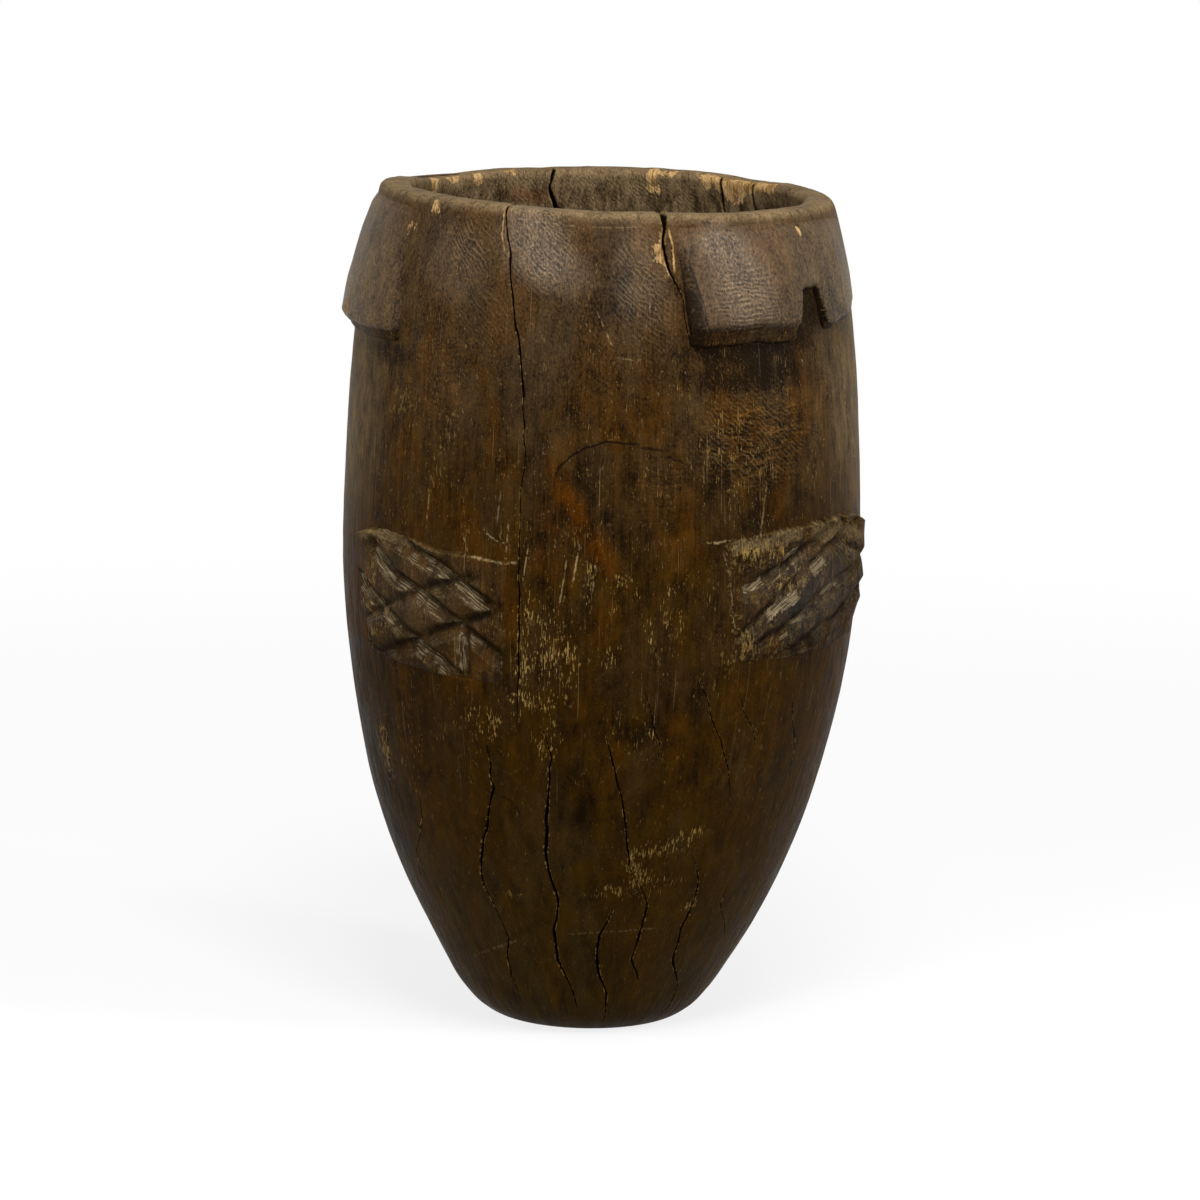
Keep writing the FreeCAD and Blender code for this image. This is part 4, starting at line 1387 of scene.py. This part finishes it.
def paint_carving(w):
    """The chisel's marks with a painted highlight on the grooves' lit slopes, dust along the panels,
    worn edges with a painted highlight on the panels' crests and top edges, and dark pits.
    """
    w.along_chisel = w.add("ShaderNodeCombineXYZ", {0: w.number("chisel_phase"), 2: w.height})
    w.cuts = w.noise(w.along_chisel, *CHISEL_CUTS)
    # pale chisel cuts with a painted highlight on the grooves' lit slopes
    w.chisel = w.product(w.number("chisel"), w.ease(w.broken, 0.42, 0.58))
    w.lay(w.product(w.chisel, 0.75), w.mix(w.ease(w.cuts, 0.44, 0.62), CHISEL_DARK, PALE_CUT_AND_HIGHLIGHT))
    w.dust = w.product(w.line("dust", 0.4, w.uneven(w.cloud, 3.0)),
                       w.ease(w.grit, 0.36, 0.62, 0.3, 1.0))
    w.lay(w.dust, DUST_AND_SHEEN)
    # pale wear, with a painted highlight on the panels' crests and top edges
    ragged = w.ease(w.total(w.wear, w.product(w.grit, 0.7)), 0.62, 1.0)
    w.lay(w.product(ragged, 0.7), PALE_WEAR_AND_HIGHLIGHT)
    w.spots = w.product(w.worn, w.ease(w.crumbs, 0.53, 0.60), w.ease(w.cloud, 0.42, 0.58))
    w.lay(w.product(w.spots, 0.55), PALE_WEAR_AND_HIGHLIGHT)
    w.lay(w.product(w.worn, w.ease(w.crumbs, 0.46, 0.38), 0.75), TROUGH_AND_PIT_BLACK)


def paint_damage(w):
    """Creases with painted shade, scratches, bare splintered wood, drying cracks with painted shade
    in the panels' grooves and the lugs' creases, and chips.
    """
    wander = w.uneven(w.grit, 2.5)
    w.crease = w.line("crease", 0.3, wander)
    # painted shade in the creases
    w.lay(w.product(w.crease, 0.85), BLACK_CRACK_AND_SHADE)
    scratch = w.larger(w.line("scratch", 0.5, wander), w.line("other_scratch", 0.5, wander))
    w.scratch = w.product(scratch, w.ease(w.gaps, 0.42, 0.60))
    w.lay(w.product(w.scratch, 0.5), SCRATCHED)

    sliver = w.line("sliver", 0.8, w.uneven(w.grit, 2.5))
    bare_at = w.total(w.bare, w.uneven(w.lobes, 2.2), w.uneven(w.grit, 0.5))
    bare = w.product(w.ease(bare_at, 0.50, 0.58), w.ease(w.bare, 0.05, 0.3))
    w.splintered = w.larger(bare, sliver)
    bare_shade = w.total(w.lobes, w.uneven(w.grit, 0.6), w.uneven(w.fibre, 0.6))
    w.lay(w.splintered, w.mix(w.ease(bare_shade, 0.30, 0.68), BARE_DARK, BARE_PALE))
    # dark cracks, with painted shade in the panels' grooves and the lugs' creases
    w.lay(w.ease(w.crack, 0.05, 0.9, 0.0, 0.97), BLACK_CRACK_AND_SHADE)

    w.chip = w.line("chip", 0.8, w.total(w.uneven(w.cloud, 2.0), w.uneven(w.grit, 1.5)))
    w.splits = w.noise(w.along_chisel, *CHIP_SPLITS)
    w.lay(w.product(w.chip, 0.85), w.mix(w.ease(w.splits, 0.40, 0.56), CHISEL_DARK, PALE_CUT_AND_HIGHLIGHT))
    flecks = w.product(w.number("flecks"), w.ease(w.crumbled, 0.54, 0.60))
    w.lay(w.product(flecks, 0.65), GOLD)


def finish_wood(w):
    """The relief in millimetres, the roughness and the polish by hands."""
    relief = w.total(
        w.product(w.fibrous, w.total(w.product(w.fibre, 0.22), w.product(w.streak, 0.35))),
        w.product(w.hair, 0.08),
        w.product(w.grit, w.leathery, 0.6),
        w.product(w.grit, w.gloss, 0.55),
        w.product(w.figured, w.curly, 0.6),
        w.product(w.crumbs, w.worn, 1.6),
        w.product(w.grit, 0.12),
        w.product(w.cloud, 0.9),
        w.product(w.scraped, -0.08),
        w.product(w.nicked, 0.12),
        w.product(w.wave, w.ripple, 0.16),
        w.product(w.cuts, w.chisel, 0.6),
        w.product(w.splits, w.chip, 0.7),
        w.product(w.chip, 0.5),
        w.product(w.spots, 0.25),
        w.product(w.crease, -0.5),
        w.product(w.scratch, 0.1),
        w.product(w.splintered, -0.35),
    )
    rough = w.total(
        w.ease(w.cloud, 0.35, 0.65, 0.36, 0.52),
        w.product(w.gloss, -0.1),
        w.product(w.larger(w.inner, w.lip), 0.25),
        w.product(w.larger(w.splintered, w.dust), 0.3),
        w.product(w.crack, 0.3),
        w.uneven(w.grit, 0.25),
    )
    bump = w.add("ShaderNodeBump", {"Height": relief, "Distance": MM, "Strength": 1.0})
    polished = w.product(w.math("MINIMUM", w.gloss, 1.2), POLISH)
    coat = w.product(w.total(polished, LEAST_POLISH),
                     w.math("SUBTRACT", 1.0, w.larger(w.crack, w.splintered)))
    shader = w.add("ShaderNodeBsdfPrincipled", {
        "Base Color": w.colour, "Roughness": rough, "Normal": bump,
        "Specular IOR Level": SPECULAR,
        "Coat Weight": coat, "Coat Roughness": COAT_ROUGHNESS, "Coat Normal": bump,
    })
    w.add("ShaderNodeOutputMaterial", {"Surface": shader})


def carved_wood():
    """Old oiled hardwood, browned by hands and smoke, with adze ripples, streaks and worn edges."""
    material = bpy.data.materials.new("carved_wood")
    wood = Wood(material)
    paint_log(wood)
    shade_log(wood)
    paint_flecks(wood)
    paint_ripples(wood)
    paint_carving(wood)
    paint_damage(wood)
    finish_wood(wood)
    return material


def floor_material():
    """White to the camera, apart from the object's shadow, and grey to other light."""
    material = bpy.data.materials.new("floor")
    g = Graph(material)
    seen = g.seen()
    place = g.add("ShaderNodeTexCoord", {}, 3)
    away = g.add("ShaderNodeVectorMath", {0: place}, 1, operation="LENGTH")
    white = g.ease(away, FLOOR_NEAR * MM, FLOOR_FAR * MM, FLOOR_WHITE, 1.0)
    cloth = g.add("ShaderNodeBsdfDiffuse", {"Color": g.mix(seen, FLOOR_DARK, FLOOR_COLOUR)})
    glow = g.add("ShaderNodeEmission", {"Color": WHITE, "Strength": 1.0})
    shader = g.add("ShaderNodeMixShader", {0: g.product(seen, white), 1: cloth, 2: glow})
    g.add("ShaderNodeOutputMaterial", {"Surface": shader})
    return material


def make_floor():
    """A wide flat floor under the foot."""
    reach = FLOOR_REACH * MM
    corners = [(-reach, -reach, 0), (reach, -reach, 0), (reach, reach, 0), (-reach, reach, 0)]
    mesh = bpy.data.meshes.new("floor")
    mesh.from_pydata(corners, [], [(0, 1, 2, 3)])
    floor = bpy.data.objects.new("floor", mesh)
    bpy.context.scene.collection.objects.link(floor)
    mesh.materials.append(floor_material())


def light_world():
    """White where the camera or a reflection sees it, a soft grey light for the rest."""
    world = bpy.data.worlds.new("studio")
    bpy.context.scene.world = world
    g = Graph(world)
    strength = g.ease(g.seen(), 0.0, 1.0, WORLD_LIGHT, 1.0)
    glow = g.add("ShaderNodeBackground", {"Color": WHITE, "Strength": strength})
    g.add("ShaderNodeOutputWorld", {"Surface": glow})


def add_lamp(name, azimuth, elevation, away, size, watts):
    """A square softbox that faces the middle of the pail."""
    data = bpy.data.lights.new(name, "AREA")
    data.shape = "SQUARE"
    data.size = size * MM
    data.energy = watts
    lamp = bpy.data.objects.new(name, data)
    bpy.context.scene.collection.objects.link(lamp)
    flat = away * math.cos(math.radians(elevation))
    place = around(azimuth, flat, away * math.sin(math.radians(elevation)))
    target = np.array([0.0, 0.0, RIM_HEIGHT / 2])
    back = place / np.linalg.norm(place)
    side = np.cross([0.0, 0.0, 1.0], back)
    side = side / np.linalg.norm(side)
    top = np.cross(back, side)
    matrix = np.eye(4)
    matrix[:3, :3] = np.stack([side, top, back], axis=1)
    matrix[:3, 3] = (place + target) * MM
    lamp.matrix_world = Matrix(matrix)


def add_camera():
    """The photograph's view: from the front, a little above, and rolled by about a degree."""
    tilt = math.radians(CAMERA_ELEVATION)
    roll = math.radians(CAMERA_ROLL)
    forward = np.array([0.0, math.cos(tilt), -math.sin(tilt)])
    level = np.array([1.0, 0.0, 0.0])
    above = np.cross(level, forward)
    side = level * math.cos(roll) + above * math.sin(roll)
    top = above * math.cos(roll) - level * math.sin(roll)
    matrix = np.eye(4)
    matrix[:3, :3] = np.stack([side, top, -forward], axis=1)
    matrix[:3, 3] = (np.array([CAMERA_ASIDE, 0.0, CAMERA_LOOK]) - forward * CAMERA_AWAY) * MM
    data = bpy.data.cameras.new("camera")
    data.lens = data.sensor_width * CAMERA_AWAY / FRAME_WIDTH
    camera = bpy.data.objects.new("camera", data)
    camera.matrix_world = Matrix(matrix)
    bpy.context.scene.collection.objects.link(camera)
    bpy.context.scene.camera = camera


def dress(piece, material, *nodes):
    """Puts a piece in the place of solids, with its finish."""
    piece.data.materials.append(material)
    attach(piece, "root")
    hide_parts(*nodes)


OUTSIDE = smooth_line(past_the_rim(barrel_points()))
INSIDE = smooth_line(past_the_rim(hollow_points()))

wood = carved_wood()
dress(make_body(), wood, "pail_bottom", "pail_lower_wall", "pail_belly_wall", "pail_rim_wall")
dress(make_lug("right_lug", RIGHT_LUG), wood, "right_rim_lug")
dress(make_lug("left_lug", LEFT_LUG), wood, "left_rim_lug")
for panel_name, panel_shape in PANELS.items():
    dress(make_panel(panel_name.replace("grip_panel", "hatching"), panel_shape), wood, panel_name)
make_floor()
light_world()
for lamp in LAMPS:
    add_lamp(*lamp)
add_camera()
bpy.context.scene.view_settings.view_transform = "Standard"
